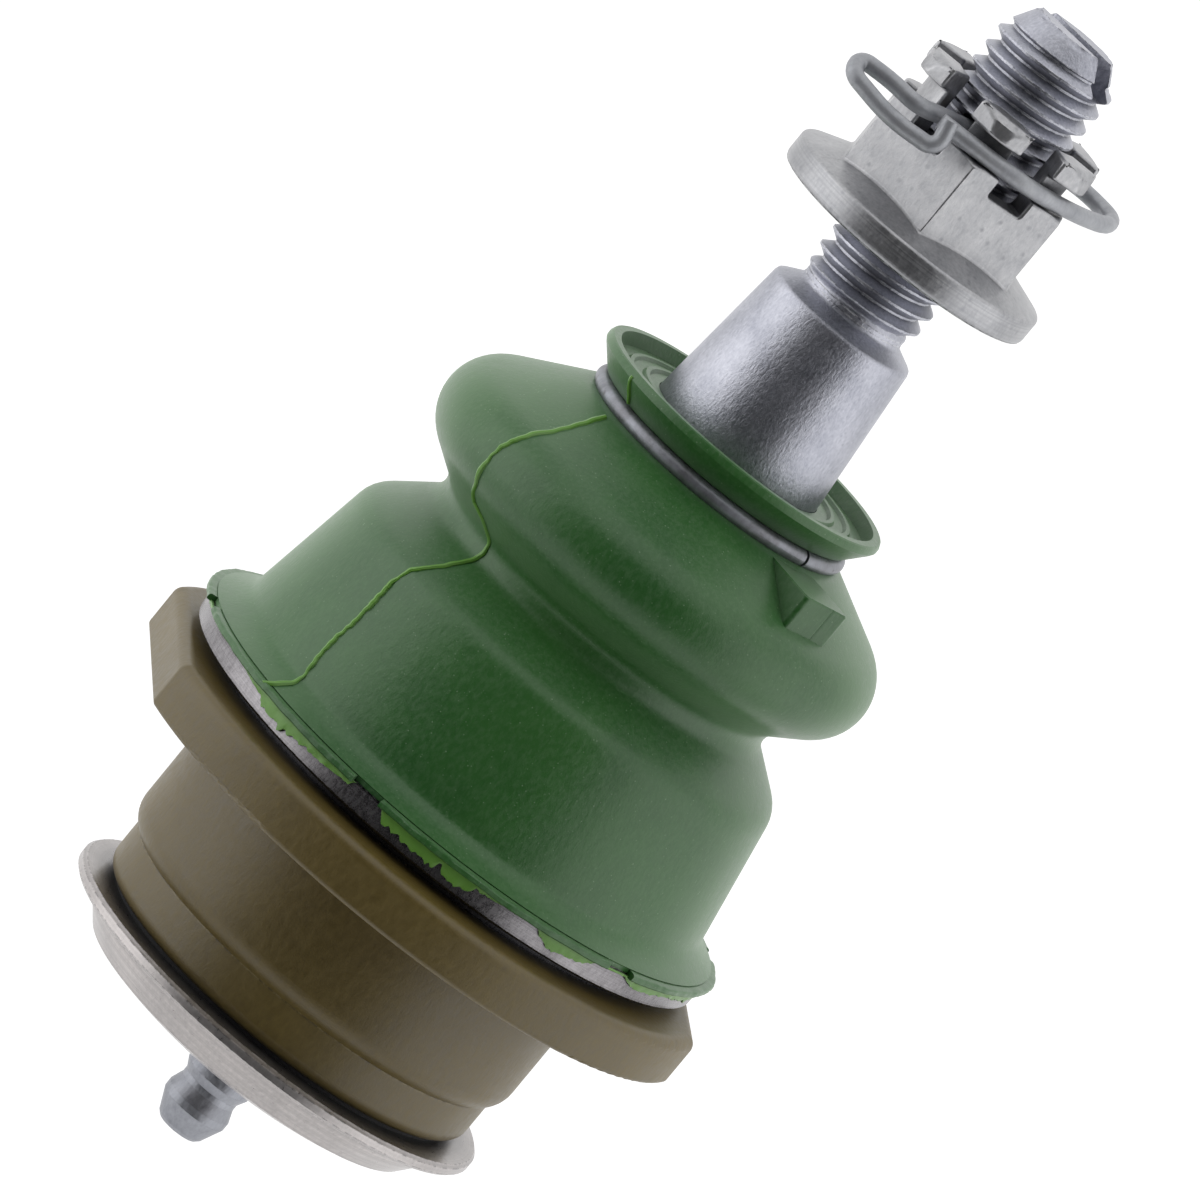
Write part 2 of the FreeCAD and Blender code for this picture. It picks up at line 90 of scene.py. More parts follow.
def colour(red, green, blue):
    """A linear colour from the 0 to 255 values of a picture."""
    shares = [value / 255 for value in (red, green, blue)]
    linear = [s / 12.92 if s <= 0.04045 else ((s + 0.055) / 1.055) ** 2.4 for s in shares]
    return (*linear, 1.0)


# Dark colour for dirt on scuffed edges and for painted shade in crevices.
GRIME_AND_SHADE = colour(46, 47, 52)


def length(label, text, default):
    """A size in millimetres that a user can change."""
    return FloatProperty(name=label, description=text, default=default * MM, min=0, unit="LENGTH")


def paint(label, text, red, green, blue):
    """A colour that a user can change."""
    return FloatVectorProperty(name=label, description=text, default=colour(red, green, blue),
                               size=4, min=0, max=1, subtype="COLOR")


def turn(label, text, default):
    """An angle in degrees that a user can change."""
    return FloatProperty(name=label, description=text, default=math.radians(default), subtype="ANGLE")


class BootLooks(bpy.types.PropertyGroup):
    """Sizes and colours of the dust boot."""
    wall: length("Wall", "Thickness of the rubber", 2.0)
    cup_foot_r: length("Cup foot radius", "Outside of the cup where it meets the rim", 25.1)
    cup_top_r: length("Cup top radius", "Corner at the top of the cup", 22.85)
    waist_r: length("Waist radius", "Corner at the waist", 16.8)
    bulge_r: length("Bulge radius", "Corner of the upper bulge", 27.4)
    collar_neck_r: length("Collar neck radius", "Outside of the shoulder under the collar", 14.3)
    collar_r: length("Collar radius", "Edge of the flared collar", 15.1)
    collar_recess_r: length("Collar recess radius", "Edge of the recess in the collar's top", 13.75)
    rim_r: length("Rim radius", "Outside of the rim over the base ring", 28.35)
    ring_r: length("Base ring radius", "Outside of the steel ring under the boot", 27.6)
    notch_width: length("Notch width", "Width of a notch in the rim", 3.2)
    notch_azimuth: turn("Notch azimuth", "Place of the first notch, counted from the front", -12.0)
    notch_count: IntProperty(name="Notches", description="Number of notches in the rim", default=6, min=0)
    flash_r: length("Flash thickness", "Half the thickness of the rubber along the parting line", 0.24)
    skirt_drop: length("Skirt drop", "Longest flash hanging from the rim", 1.35)
    lug_azimuth: turn("Lug azimuth", "Place of the lug, counted from the front", 47.8)
    lug_width: length("Lug width", "Width of the lug across its front face", 5.9)
    lug_reach: length("Lug reach", "From the axis to the lug's front face", 20.0)
    lug_top: length("Lug top", "Height of the lug's top", 43.5)
    rubber: paint("Rubber", "Main colour of the boot", 58, 112, 50)
    rubber_dark: paint("Dark rubber", "Darker patches of the boot", 41, 93, 39)
    rubber_shade: paint("Shaded rubber", "Rubber in crevices", 20, 52, 24)
    # Pale colour of the boot's dust specks, and also of the painted sheen at its limbs.
    rubber_dust_and_sheen: paint("Dusty rubber", "Paler specks on the boot", 140, 170, 134)
    flash: paint("Flash", "Thin rubber along the parting line", 116, 172, 70)


class StudLooks(bpy.types.PropertyGroup):
    """Sizes and colours of the stud, nut and clip."""
    pitch: length("Pitch", "Distance between two threads", 1.75)
    crest_r: length("Crest radius", "Outside of the thread", 5.86)
    root_r: length("Root radius", "Bottom of the thread's groove", 4.92)
    slot_width: length("Slot width", "Width of the slot in the stud's end", 2.6)
    slot_azimuth: turn("Slot azimuth", "Direction of the slot, counted from the front", 62.0)
    thread_phase: FloatProperty(name="Thread phase", description="Shift of the helix along the stud",
                                default=-0.35 * MM, unit="LENGTH")
    nut_bevel: length("Nut edge rounding", "Rounding of the nut's edges", 0.26)
    clip_r: length("Clip wire radius", "Half the thickness of the clip's wire", 0.79)
    zinc: paint("Zinc", "Main colour of the plated stud", 202, 203, 212)
    zinc_dark: paint("Dark zinc", "Darker grain of the plated stud", 144, 146, 157)
    zinc_worn: paint("Worn zinc", "Bright metal on the stud's worn edges", 236, 237, 240)
    nut_zinc: paint("Nut zinc", "Main colour of the plated nut", 196, 196, 198)
    nut_dark: paint("Dark nut zinc", "Darker grain of the plated nut", 145, 146, 150)
    nut_worn: paint("Worn nut zinc", "Bright metal on the nut's worn edges", 222, 222, 224)
    clip: paint("Clip", "Grey plated spring wire", 154, 156, 162)
    clip_worn: paint("Worn clip", "Bright patches of the wire", 186, 188, 192)


class BodyLooks(bpy.types.PropertyGroup):
    """Colours of the housing, rings and cover."""
    coating: paint("Coating", "Olive-brown coating of the housing", 116, 99, 46)
    coating_dark: paint("Dark coating", "Darker patches of the coating", 90, 76, 34)
    coating_worn: paint("Worn coating", "Coating on worn edges", 138, 126, 90)
    turned: paint("Turned steel", "Turned steel of the base ring", 184, 181, 184)
    turned_dark: paint("Dark turned steel", "Grooves of the turned steel", 96, 93, 95)
    cover: paint("Cover", "Plated sheet of the cover", 212, 206, 204)
    cover_dark: paint("Dark cover", "Darker patches of the plated sheet", 160, 156, 155)
    nipple: paint("Nipple", "Plating of the grease nipple", 178, 180, 187)
    nipple_dark: paint("Dark nipple", "Darker patches of the nipple", 128, 130, 137)
    ring: paint("Clamp ring", "Plated wire round the collar", 172, 175, 184)
    iron: paint("Sintered iron", "Bearings inside the housing", 90, 86, 82)
    spring: paint("Spring steel", "Disc springs and washer", 120, 120, 124)
    seal: paint("Seal", "Black rubber seal", 28, 28, 30)


class StageLooks(bpy.types.PropertyGroup):
    """The camera's place, the lights and the floor."""
    distance: FloatProperty(name="Distance", description="From the axis to the camera, level",
                            default=1.095, min=0.1, unit="LENGTH")
    height: FloatProperty(name="Height", description="Camera height above the flange's seat",
                          default=0.245, unit="LENGTH")
    roll: turn("Roll", "How far the stud leans clockwise in the picture", 39.5)
    view_width: FloatProperty(name="View width", description="Width of the picture at the axis",
                              default=0.1048, min=0.01, unit="LENGTH")
    aim_x: FloatProperty(name="Aim X", description="Point in the middle of the picture", default=-0.00105,
                         unit="LENGTH")
    aim_z: FloatProperty(name="Aim Z", description="Point in the middle of the picture", default=0.0289,
                         unit="LENGTH")
    left_power: FloatProperty(name="Left light", description="Power of the left light", default=0.95,
                              min=0, unit="POWER")
    right_power: FloatProperty(name="Right light", description="Power of the right light", default=0.6,
                               min=0, unit="POWER")
    world_strength: FloatProperty(name="Room light", description="Strength of the room's light",
                                  default=0.75, min=0)
    card_width: FloatProperty(name="Card width", description="Width of the dark card behind the camera",
                              default=2.7, min=0.1, unit="LENGTH")
    card_height: FloatProperty(name="Card height", description="Height of the dark card behind the camera",
                               default=2.4, min=0.1, unit="LENGTH")
    floor_drop: length("Floor drop", "Gap between the object and the floor", 800.0)


LOOKS = {"boot_looks": BootLooks, "stud_looks": StudLooks, "body_looks": BodyLooks, "stage_looks": StageLooks}


def at(radius, azimuth, z):
    """A point at a radius and an azimuth in degrees, counted from the front towards +X."""
    angle = math.radians(azimuth)
    return Vector((radius * math.sin(angle), -radius * math.cos(angle), z))


def azimuth_of(point):
    """A point's azimuth in degrees, counted from the front towards +X."""
    return math.degrees(math.atan2(point.x, -point.y))


def radius_of(point):
    """A point's distance from the stud's axis."""
    return math.hypot(point.x, point.y)


def new_piece(name, bm, material, sharp=32):
    """An object of a finished bmesh, smooth but for its sharp edges."""
    mesh = bpy.data.meshes.new(name)
    bm.to_mesh(mesh)
    bm.free()
    mesh.polygons.foreach_set("use_smooth", [True] * len(mesh.polygons))
    mesh.set_sharp_from_angle(angle=math.radians(sharp))
    mesh.materials.append(material)
    piece = bpy.data.objects.new(name, mesh)
    bpy.context.scene.collection.objects.link(piece)
    return piece


def apply_modifiers(piece):
    """Puts a piece's modifiers into its mesh."""
    graph = bpy.context.evaluated_depsgraph_get()
    made = bpy.data.meshes.new_from_object(piece.evaluated_get(graph))
    piece.modifiers.clear()
    piece.data = made


def rounded_outline(corners, spacing):
    """Points along the runs between (radius, z, rounding) corners, with tangent arcs."""
    path = [Vector(corners[0][:2])]
    for before, corner, after in zip(corners, corners[1:], corners[2:]):
        middle = Vector(corner[:2])
        if not corner[2]:
            path.append(middle)
            continue
        back = (Vector(before[:2]) - middle).normalized()
        ahead = (Vector(after[:2]) - middle).normalized()
        half = back.angle(ahead) / 2
        reach = corner[2] / math.tan(half)
        centre = middle + (back + ahead).normalized() * corner[2] / math.sin(half)
        start = middle + back * reach - centre
        sweep = start.angle_signed(middle + ahead * reach - centre)
        steps = max(3, math.ceil(abs(sweep) * corner[2] / spacing))
        path += [centre + Matrix.Rotation(-sweep * i / steps, 2) @ start for i in range(steps + 1)]
    path.append(Vector(corners[-1][:2]))
    fine = [path[0]]
    for start, end in zip(path, path[1:]):
        pieces = max(1, round((end - start).length / spacing))
        fine += [start.lerp(end, i / pieces) for i in range(1, pieces + 1)]
    return fine


def moved_inwards(outline, wall):
    """The outline moved by a wall's thickness to its left, which is the stud's side."""
    moved = []
    for i, point in enumerate(outline):
        before = outline[max(i - 1, 0)]
        after = outline[min(i + 1, len(outline) - 1)]
        along = (after - before).normalized()
        moved.append(point + Vector((-along.y, along.x)) * wall)
    return moved


def section(bm, points, azimuth):
    """The verts and edges of a closed (radius, z) section at an azimuth."""
    verts = [bm.verts.new(at(p[0], azimuth, p[1])) for p in points]
    return verts, [bm.edges.new(pair) for pair in zip(verts, verts[1:] + verts[:1])]


def spun(bm, points, steps=240):
    """Spins a closed section all the way round."""
    verts, edges = section(bm, points, 0)
    bmesh.ops.spin(bm, geom=verts + edges, cent=CENTRE, axis=AXIS, dvec=(0, 0, 0), steps=steps,
                   angle=2 * math.pi, use_merge=True, use_duplicate=False)


def spun_sector(bm, points, start, end, step=1.5):
    """Spins a closed section from one azimuth to another, with both ends closed."""
    verts = section(bm, points, start)[0]
    first = bm.faces.new(verts)
    steps = max(1, round((end - start) / step))
    bmesh.ops.spin(bm, geom=[first], cent=CENTRE, axis=AXIS, dvec=(0, 0, 0), steps=steps,
                   angle=math.radians(end - start), use_merge=False, use_duplicate=False)


def between(table, place):
    """A value between a table's (place, value) rows, held at its ends."""
    for (before, low), (after, high) in zip(table, table[1:]):
        if place <= after:
            return low + (high - low) * max(place - before, 0) / (after - before)
    return table[-1][1]


def added(bm, build, flash=0.0):
    """Adds what a builder makes on a bmesh of its own, which is quick, and marks how far it is flash."""
    part = bmesh.new()
    layer = part.verts.layers.float.new("flash")
    build(part)
    for vert in part.verts:
        vert[layer] = flash
    mesh = bpy.data.meshes.new("part")
    part.to_mesh(mesh)
    part.free()
    bm.from_mesh(mesh)
    bpy.data.meshes.remove(mesh)


def tube(name, points, radius, sizes=None, sides=16):
    """The mesh of a round tube along points, with an optional size factor at each."""
    curve = bpy.data.curves.new(name, "CURVE")
    curve.dimensions = "3D"
    curve.bevel_depth = radius
    curve.bevel_resolution = sides // 4
    curve.use_fill_caps = True
    spline = curve.splines.new("POLY")
    spline.points.add(len(points) - 1)
    for i, (knot, place) in enumerate(zip(spline.points, points)):
        knot.co = (*place, 1)
        knot.radius = sizes[i] if sizes else 1.0
    holder = bpy.data.objects.new(name, curve)
    mesh = bpy.data.meshes.new_from_object(holder)
    bpy.data.objects.remove(holder)
    bpy.data.curves.remove(curve)
    return mesh


def rounded_run(points, share=0.45, steps=10):
    """A wire's centre line: straight runs joined by tangent arcs."""
    run = [points[0]]
    for before, corner, after in zip(points, points[1:], points[2:]):
        back = (before - corner).normalized()
        ahead = (after - corner).normalized()
        setback = share * min((before - corner).length, (after - corner).length)
        half = back.angle(ahead) / 2
        radius = setback * math.tan(half)
        centre = corner + (back + ahead).normalized() * (setback / math.cos(half))
        start = corner + back * setback - centre
        turn_by = start.rotation_difference(corner + ahead * setback - centre)
        for i in range(steps + 1):
            part = start.copy()
            part.rotate(Quaternion().slerp(turn_by, i / steps))
            run.append(centre + part.normalized() * radius)
    run.append(points[-1])
    return run


def rounded_copy(node, name, material, width):
    """A copy of a CAD node's mesh with its loose triangles merged and its edges rounded."""
    flat_within = math.radians(0.5)
    shortest_edge = 0.1 * MM
    bm = bmesh.new()
    bm.from_mesh(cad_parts[node].data)
    bmesh.ops.remove_doubles(bm, verts=bm.verts, dist=WELD)
    bmesh.ops.dissolve_limit(bm, angle_limit=flat_within, verts=bm.verts, edges=bm.edges)
    bmesh.ops.remove_doubles(bm, verts=bm.verts, dist=shortest_edge)
    piece = new_piece(name, bm, material, sharp=24)
    rounding = piece.modifiers.new("Edge rounding", "BEVEL")
    rounding.width = width
    rounding.segments = 3
    rounding.use_clamp_overlap = False
    rounding.limit_method = "ANGLE"
    rounding.angle_limit = math.radians(36)
    rounding.miter_outer = "MITER_ARC"
    flats = piece.modifiers.new("Flat faces", "WEIGHTED_NORMAL")
    flats.keep_sharp = True
    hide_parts(node)
    return piece


class Nodes:
    """Adds shader nodes to a tree and joins them by name."""

    def __init__(self, tree):
        self.tree = tree

    def add(self, kind, **settings):
        """A new node with its settings, each put on a socket or on the node itself."""
        node = self.tree.nodes.new(kind)
        for key, value in settings.items():
            if key in node.inputs:
                self.put(node, key, value)
            else:
                setattr(node, key, value)
        return node

    def put(self, node, name, value):
        """Joins a socket to a node's input, or gives the input a plain value."""
        if isinstance(value, bpy.types.NodeSocket):
            self.tree.links.new(value, node.inputs[name])
        else:
            node.inputs[name].default_value = value

    def maths(self, operation, first, second=0.0, clamp=False):
        """The result of one sum."""
        node = self.add("ShaderNodeMath", operation=operation, use_clamp=clamp)
        self.put(node, 0, first)
        self.put(node, 1, second)
        return node.outputs[0]

    def spread(self, value, low, high, to_low=0.0, to_high=1.0):
        """Maps a value's range onto another, held at both ends."""
        node = self.add("ShaderNodeMapRange")
        for name, given in (("Value", value), ("From Min", low), ("From Max", high),
                            ("To Min", to_low), ("To Max", to_high)):
            self.put(node, name, given)
        return node.outputs["Result"]

    def mix(self, share, first, second):
        """A colour between two, the second where the share is 1."""
        node = self.add("ShaderNodeMix", data_type="RGBA")
        self.put(node, 0, share)
        self.put(node, 6, first)
        self.put(node, 7, second)
        return node.outputs[2]

    def noise(self, vector, scale, detail=3.0, roughness=0.55, distortion=0.0):
        """A cloudy pattern at a place."""
        node = self.add("ShaderNodeTexNoise")
        for name, given in (("Vector", vector), ("Scale", scale), ("Detail", detail),
                            ("Roughness", roughness), ("Distortion", distortion)):
            self.put(node, name, given)
        return node.outputs["Fac"]


def node_group(name, inputs, outputs):
    """An empty shader group with its sockets, its node helper and its two end nodes."""
    tree = bpy.data.node_groups.new(name, "ShaderNodeTree")
    for label, kind, default in inputs:
        socket = tree.interface.new_socket(name=label, in_out="INPUT", socket_type=kind)
        if default is not None:
            socket.default_value = default
    for label, kind in outputs:
        tree.interface.new_socket(name=label, in_out="OUTPUT", socket_type=kind)
    nodes = Nodes(tree)
    return nodes, nodes.add("NodeGroupInput").outputs, nodes.add("NodeGroupOutput")


def grain_group():
    """Mottled grain: broad patches, fine grain and small dark pits over an object."""
    group = bpy.data.node_groups.get("Mottled grain")
    if group:
        return group
    nodes, given, out = node_group(
        "Mottled grain",
        [("Patch Scale", "NodeSocketFloat", 120.0), ("Grain Scale", "NodeSocketFloat", 2500.0),
         ("Pit Scale", "NodeSocketFloat", 900.0), ("Pit Share", "NodeSocketFloat", 0.2)],
        [("Patches", "NodeSocketFloat"), ("Grain", "NodeSocketFloat"), ("Pits", "NodeSocketFloat")])
    place = nodes.add("ShaderNodeTexCoord").outputs["Object"]
    patches = nodes.noise(place, given["Patch Scale"], detail=4.0, roughness=0.6, distortion=0.3)
    upright_grain = (1, 1, 0.5)
    stretch = nodes.add("ShaderNodeVectorMath", operation="MULTIPLY")
    nodes.put(stretch, 0, place)
    stretch.inputs[1].default_value = upright_grain
    grain = nodes.noise(stretch.outputs[0], given["Grain Scale"], roughness=0.7)
    cells = nodes.add("ShaderNodeTexVoronoi")
    nodes.put(cells, "Vector", place)
    nodes.put(cells, "Scale", given["Pit Scale"])
    near = nodes.spread(cells.outputs["Distance"], 0.05, 0.3, to_low=1.0, to_high=0.0)
    chosen = nodes.add("ShaderNodeSeparateColor")
    nodes.put(chosen, "Color", cells.outputs["Color"])
    kept = nodes.maths("LESS_THAN", chosen.outputs[0], given["Pit Share"])
    nodes.put(out, "Patches", nodes.spread(patches, 0.3, 0.7))
    nodes.put(out, "Grain", nodes.spread(grain, 0.29, 0.71))
    nodes.put(out, "Pits", nodes.maths("MULTIPLY", near, kept))
    return nodes.tree


def edge_group():
    """Masks of an object's edges, broken up as wear and scuffs are, and of its crevices for painted shade."""
    group = bpy.data.node_groups.get("Wear and crevice shade")
    if group:
        return group
    nodes, given, out = node_group(
        "Wear and crevice shade",
        [("Width", "NodeSocketFloat", 0.3 * MM), ("Breakup Scale", "NodeSocketFloat", 1100.0),
         ("Reach", "NodeSocketFloat", 1.2 * MM)],
        [("Edges", "NodeSocketFloat"), ("Scuffs", "NodeSocketFloat"), ("Crevice Shade", "NodeSocketFloat")])
    soft = nodes.add("ShaderNodeBevel", samples=6)
    nodes.put(soft, "Radius", given["Width"])
    flat = nodes.add("ShaderNodeNewGeometry").outputs["Normal"]
    along = nodes.add("ShaderNodeVectorMath", operation="DOT_PRODUCT")
    nodes.put(along, 0, soft.outputs["Normal"])
    nodes.put(along, 1, flat)
    edge = nodes.spread(along.outputs["Value"], 0.995, 0.93)
    place = nodes.add("ShaderNodeTexCoord").outputs["Object"]
    breakup = nodes.noise(place, given["Breakup Scale"], detail=4.0, roughness=0.65)
    nodes.put(out, "Edges", nodes.maths("MULTIPLY", edge, nodes.spread(breakup, 0.49, 0.56)))
    nodes.put(out, "Scuffs", nodes.maths("MULTIPLY", edge, nodes.spread(breakup, 0.51, 0.45)))
    # Painted shade: ambient occlusion marks the crevices, where shade falls.
    closeness = nodes.add("ShaderNodeAmbientOcclusion", samples=8)
    nodes.put(closeness, "Distance", given["Reach"])
    nodes.put(out, "Crevice Shade", nodes.spread(closeness.outputs["AO"], 0.8, 0.25))
    return nodes.tree


def turned_group():
    """Fine lines that a lathe leaves round the stud's axis, on faces and on rounds."""
    group = bpy.data.node_groups.get("Turned lines")
    if group:
        return group
    nodes, given, out = node_group(
        "Turned lines",
        [("Line Scale", "NodeSocketFloat", 6000.0), ("Drift Scale", "NodeSocketFloat", 60.0)],
        [("Lines", "NodeSocketFloat")])
    place = nodes.add("ShaderNodeTexCoord").outputs["Object"]
    split = nodes.add("ShaderNodeSeparateXYZ")
    nodes.put(split, 0, place)
    flat = nodes.add("ShaderNodeVectorMath", operation="MULTIPLY")
    nodes.put(flat, 0, place)
    flat.inputs[1].default_value = (1, 1, 0)
    span = nodes.add("ShaderNodeVectorMath", operation="LENGTH")
    nodes.put(span, 0, flat.outputs[0])
    longest_drift = 0.15 * MM
    drift = nodes.maths("MULTIPLY", nodes.noise(place, given["Drift Scale"], detail=1.0), longest_drift)
    spot = nodes.add("ShaderNodeCombineXYZ")
    nodes.put(spot, 0, span.outputs["Value"])
    nodes.put(spot, 2, nodes.maths("ADD", split.outputs[2], drift))
    lines = nodes.noise(spot.outputs[0], given["Line Scale"], detail=2.0, roughness=0.6)
    nodes.put(out, "Lines", nodes.spread(lines, 0.3, 0.7))
    return nodes.tree


def placed_group(nodes, tree, **values):
    """The outputs of a node group placed in a material with its own values."""
    node = nodes.add("ShaderNodeGroup")
    node.node_tree = tree
    for name, value in values.items():
        nodes.put(node, name.replace("_", " "), value)
    return node.outputs


def new_material(name, metallic, roughness):
    """A material with its shader and node helper. Metallic and roughness are plain values."""
    made = bpy.data.materials.new(name)
    made.use_nodes = True
    shader = made.node_tree.nodes["Principled BSDF"]
    shader.inputs["Metallic"].default_value = metallic
    shader.inputs["Roughness"].default_value = roughness
    return made, Nodes(made.node_tree), shader


def bumped(nodes, shader, height, depth):
    """Puts a bump of the given depth, in metres, on a shader."""
    bump = nodes.add("ShaderNodeBump")
    nodes.put(bump, "Height", height)
    bump.inputs["Distance"].default_value = depth
    bump.inputs["Strength"].default_value = 1.0
    nodes.put(shader, "Normal", bump.outputs["Normal"])


def rubber_material(looks):
    """Matt green rubber with fine grain, pale dust, lighter flash, painted shade in its crevices and a
    painted pale sheen at its limbs.
    """
    made, nodes, shader = new_material("Green rubber", metallic=0.0, roughness=0.38)
    grain = placed_group(nodes, grain_group(), Patch_Scale=70.0, Grain_Scale=2600.0, Pit_Scale=3600.0,
                         Pit_Share=0.16)
    base = nodes.mix(grain["Patches"], looks.rubber_dark, looks.rubber)
    dust = nodes.noise(nodes.add("ShaderNodeTexCoord").outputs["Object"], scale=900.0, detail=2.0)
    dust = nodes.maths("MULTIPLY", grain["Pits"], nodes.spread(dust, 0.4, 0.62, to_low=0.1, to_high=0.9))
    base = nodes.mix(nodes.spread(grain["Grain"], 0.3, 0.9, to_high=0.12), base, looks.rubber_dust_and_sheen)
    specks = nodes.mix(dust, base, looks.rubber_dust_and_sheen)
    flash = nodes.add("ShaderNodeAttribute", attribute_name="flash")
    tone = nodes.mix(flash.outputs["Fac"], specks, looks.flash)
    edges = placed_group(nodes, edge_group(), Width=0.2 * MM, Reach=1.6 * MM)
    # Painted shade: the rubber is darkened where ambient occlusion finds crevices.
    tone = nodes.mix(nodes.maths("MULTIPLY", edges["Crevice Shade"], 0.5), tone, looks.rubber_shade)
    # Painted sheen: the colour pales towards the limbs, in place of the bright room's reflection at grazing
    # angles.
    grazing = nodes.add("ShaderNodeLayerWeight")
    grazing.inputs["Blend"].default_value = 0.5
    painted_limb_sheen = nodes.spread(grazing.outputs["Facing"], 0.4, 1.0, to_high=0.55)
    nodes.put(shader, "Base Color", nodes.mix(painted_limb_sheen, tone, looks.rubber_dust_and_sheen))
    nodes.put(shader, "Roughness", nodes.spread(grain["Grain"], 0, 1, to_low=0.32, to_high=0.44))
    height = nodes.maths("ADD", grain["Grain"], nodes.maths("MULTIPLY", grain["Patches"], 5.0))
    shader.inputs["Specular IOR Level"].default_value = 0.62
    bumped(nodes, shader, height, depth=0.012 * MM)
    return made


def metal_material(name, main, dark, metallic, rough_low, rough_high, patch_scale, grain_scale, pit_share,
                   bump, worn=None, worn_width=0.3 * MM, pits=0.6, lines=0.0, line_scale=6000.0,
                   lines_top=None, grain_mix=0.5, grime_and_shade=0.0, crevice_shade_reach=1.2 * MM, specular=0.5):
    """A plated or coated metal with patches, grain, pits, worn edges, dirt on scuffed edges, painted shade in
    its crevices and turned lines.
    """
    made, nodes, shader = new_material(name, metallic, rough_low)
    shader.inputs["Specular IOR Level"].default_value = specular
    grain = placed_group(nodes, grain_group(), Patch_Scale=patch_scale, Grain_Scale=grain_scale,
                         Pit_Scale=grain_scale * 0.35, Pit_Share=pit_share)
    blend = nodes.maths("ADD", nodes.maths("MULTIPLY", grain["Patches"], 1 - grain_mix),
                        nodes.maths("MULTIPLY", grain["Grain"], grain_mix))
    tone = nodes.mix(blend, dark, main)
    height = grain["Grain"]
    if lines:
        turned = placed_group(nodes, turned_group(), Line_Scale=line_scale)["Lines"]
        if lines_top:
            split = nodes.add("ShaderNodeSeparateXYZ")
            nodes.put(split, 0, nodes.add("ShaderNodeTexCoord").outputs["Object"])
            turned = nodes.maths("MULTIPLY", turned, nodes.maths("LESS_THAN", split.outputs[2], lines_top))
        tone = nodes.mix(nodes.maths("MULTIPLY", turned, lines), tone, dark)
        height = nodes.maths("ADD", nodes.maths("MULTIPLY", height, 1 - lines),
                             nodes.maths("MULTIPLY", turned, -lines))
    tone = nodes.mix(nodes.maths("MULTIPLY", grain["Pits"], pits), tone, dark)
    if worn or grime_and_shade:
        edges = placed_group(nodes, edge_group(), Width=worn_width, Reach=crevice_shade_reach)
    if worn:
        tone = nodes.mix(edges["Edges"], tone, worn)
        chalky = metallic * 0.15
        nodes.put(shader, "Metallic", nodes.spread(edges["Edges"], 0.0, 1.0, metallic, chalky))
    if grime_and_shade:
        # Painted shade: crevices found by ambient occlusion are darkened, together with real dirt on scuffed
        # edges.
        dirt_and_shade = nodes.maths("ADD", edges["Crevice Shade"], edges["Scuffs"], clamp=True)
        tone = nodes.mix(nodes.maths("MULTIPLY", dirt_and_shade, grime_and_shade), tone, GRIME_AND_SHADE)
    nodes.put(shader, "Base Color", tone)
    nodes.put(shader, "Roughness", nodes.spread(grain["Grain"], 0, 1, rough_low, rough_high))
    bumped(nodes, shader, height, bump)
    return made


# Heights of the boot's corners, of its collar and of the place where its two halves meet.
CUP_FOOT_Z = 10.6 * MM
CUP_TOP_Z = 23.5 * MM
WAIST_Z = 28.4 * MM
BULGE_Z = 36.0 * MM
NECK_Z = 43.4 * MM
RECESS_Z = 46.9 * MM
COLLAR_TOP_Z = 48.2 * MM
SPLIT_Z = 21.0 * MM

# Roundings of the cup's top, the waist and the bulge.
CUP_ROUNDING = 3.05 * MM
WAIST_ROUNDING = 1.75 * MM
BULGE_ROUNDING = 4.75 * MM

# The boot's foot as (radius, height) in mm: its bore, its underside and the rounded top of its rim.
FOOT = ((19.6, 9.2), (19.6, 8.2), (27.52, 8.2), (27.52, 8.6), (27.6, 8.72), (27.45, 8.8), (27.1, 8.98),
        (26.6, 9.25), (26.0, 9.6), (25.6, 9.95), (25.3, 10.25))

# The rim's outer edge as (distance inside the rim's radius, height) in mm, from its underside up.
RIM_EDGE = ((0.1, 7.95), (0, 8.05), (0, 8.4), (0.08, 8.52), (0.22, 8.58))
RIM_MIDDLE_Z = 8.35 * MM

# Where the flash under the rim starts.
SKIRT_TOP_Z = 8.1 * MM

# The parting line as (height in mm, azimuth in degrees), from the rim to the collar.
PARTING = ((8.3, -41.6), (8.8, -40.8), (9.9, -40.2), (12.4, -41.4), (14.9, -41.9), (17.0, -41.5),
           (19.2, -41.8), (21.5, -42.2), (23.4, -41.6), (24.6, -40.2), (25.3, -39.4), (26.6, -38.6),
           (28.0, -38.2), (29.4, -38.8), (30.6, -41.6), (31.2, -44.6), (32.0, -43.9), (33.0, -43.2),
           (35.8, -42.9), (37.5, -42.3), (38.9, -41.6), (40.5, -41.9), (42.2, -44.2), (43.3, -46.4))

# The flash hanging from the rim as (azimuth in degrees, share of the longest drop).
SKIRT = ((-180, 0.3), (-160, 0.0), (-140, 0.5), (-120, 0.1), (-90, 0.35), (-66, 0.15), (-60, 0.1),
         (-50, 0.12), (-41, 0.5), (-39, 0.95), (-36, 0.9), (-33, 1.0), (-30, 0.8), (-27, 0.7), (-22, 0.62),
         (-18, 0.45), (-15.5, 0.4), (-14.8, 0.0), (-8.2, 0.0), (-7.6, 0.3), (-6.5, 0.85), (-4, 0.78),
         (0, 0.92), (5.6, 0.9), (6.4, 0.35), (7.2, 0.95), (11, 1.0), (13.2, 0.85), (13.9, 0.25), (15, 0.4),
         (18, 0.3), (22, 0.1), (27, 0.0), (29, 0.5), (32, 0.95), (36, 0.8), (40, 0.65), (42, 0.2),
         (50.4, 0.1), (53, 0.55), (58, 0.7), (66, 0.5), (76, 0.7), (90, 0.3), (110, 0.1), (120, 0.45),
         (150, 0.0), (180, 0.3))


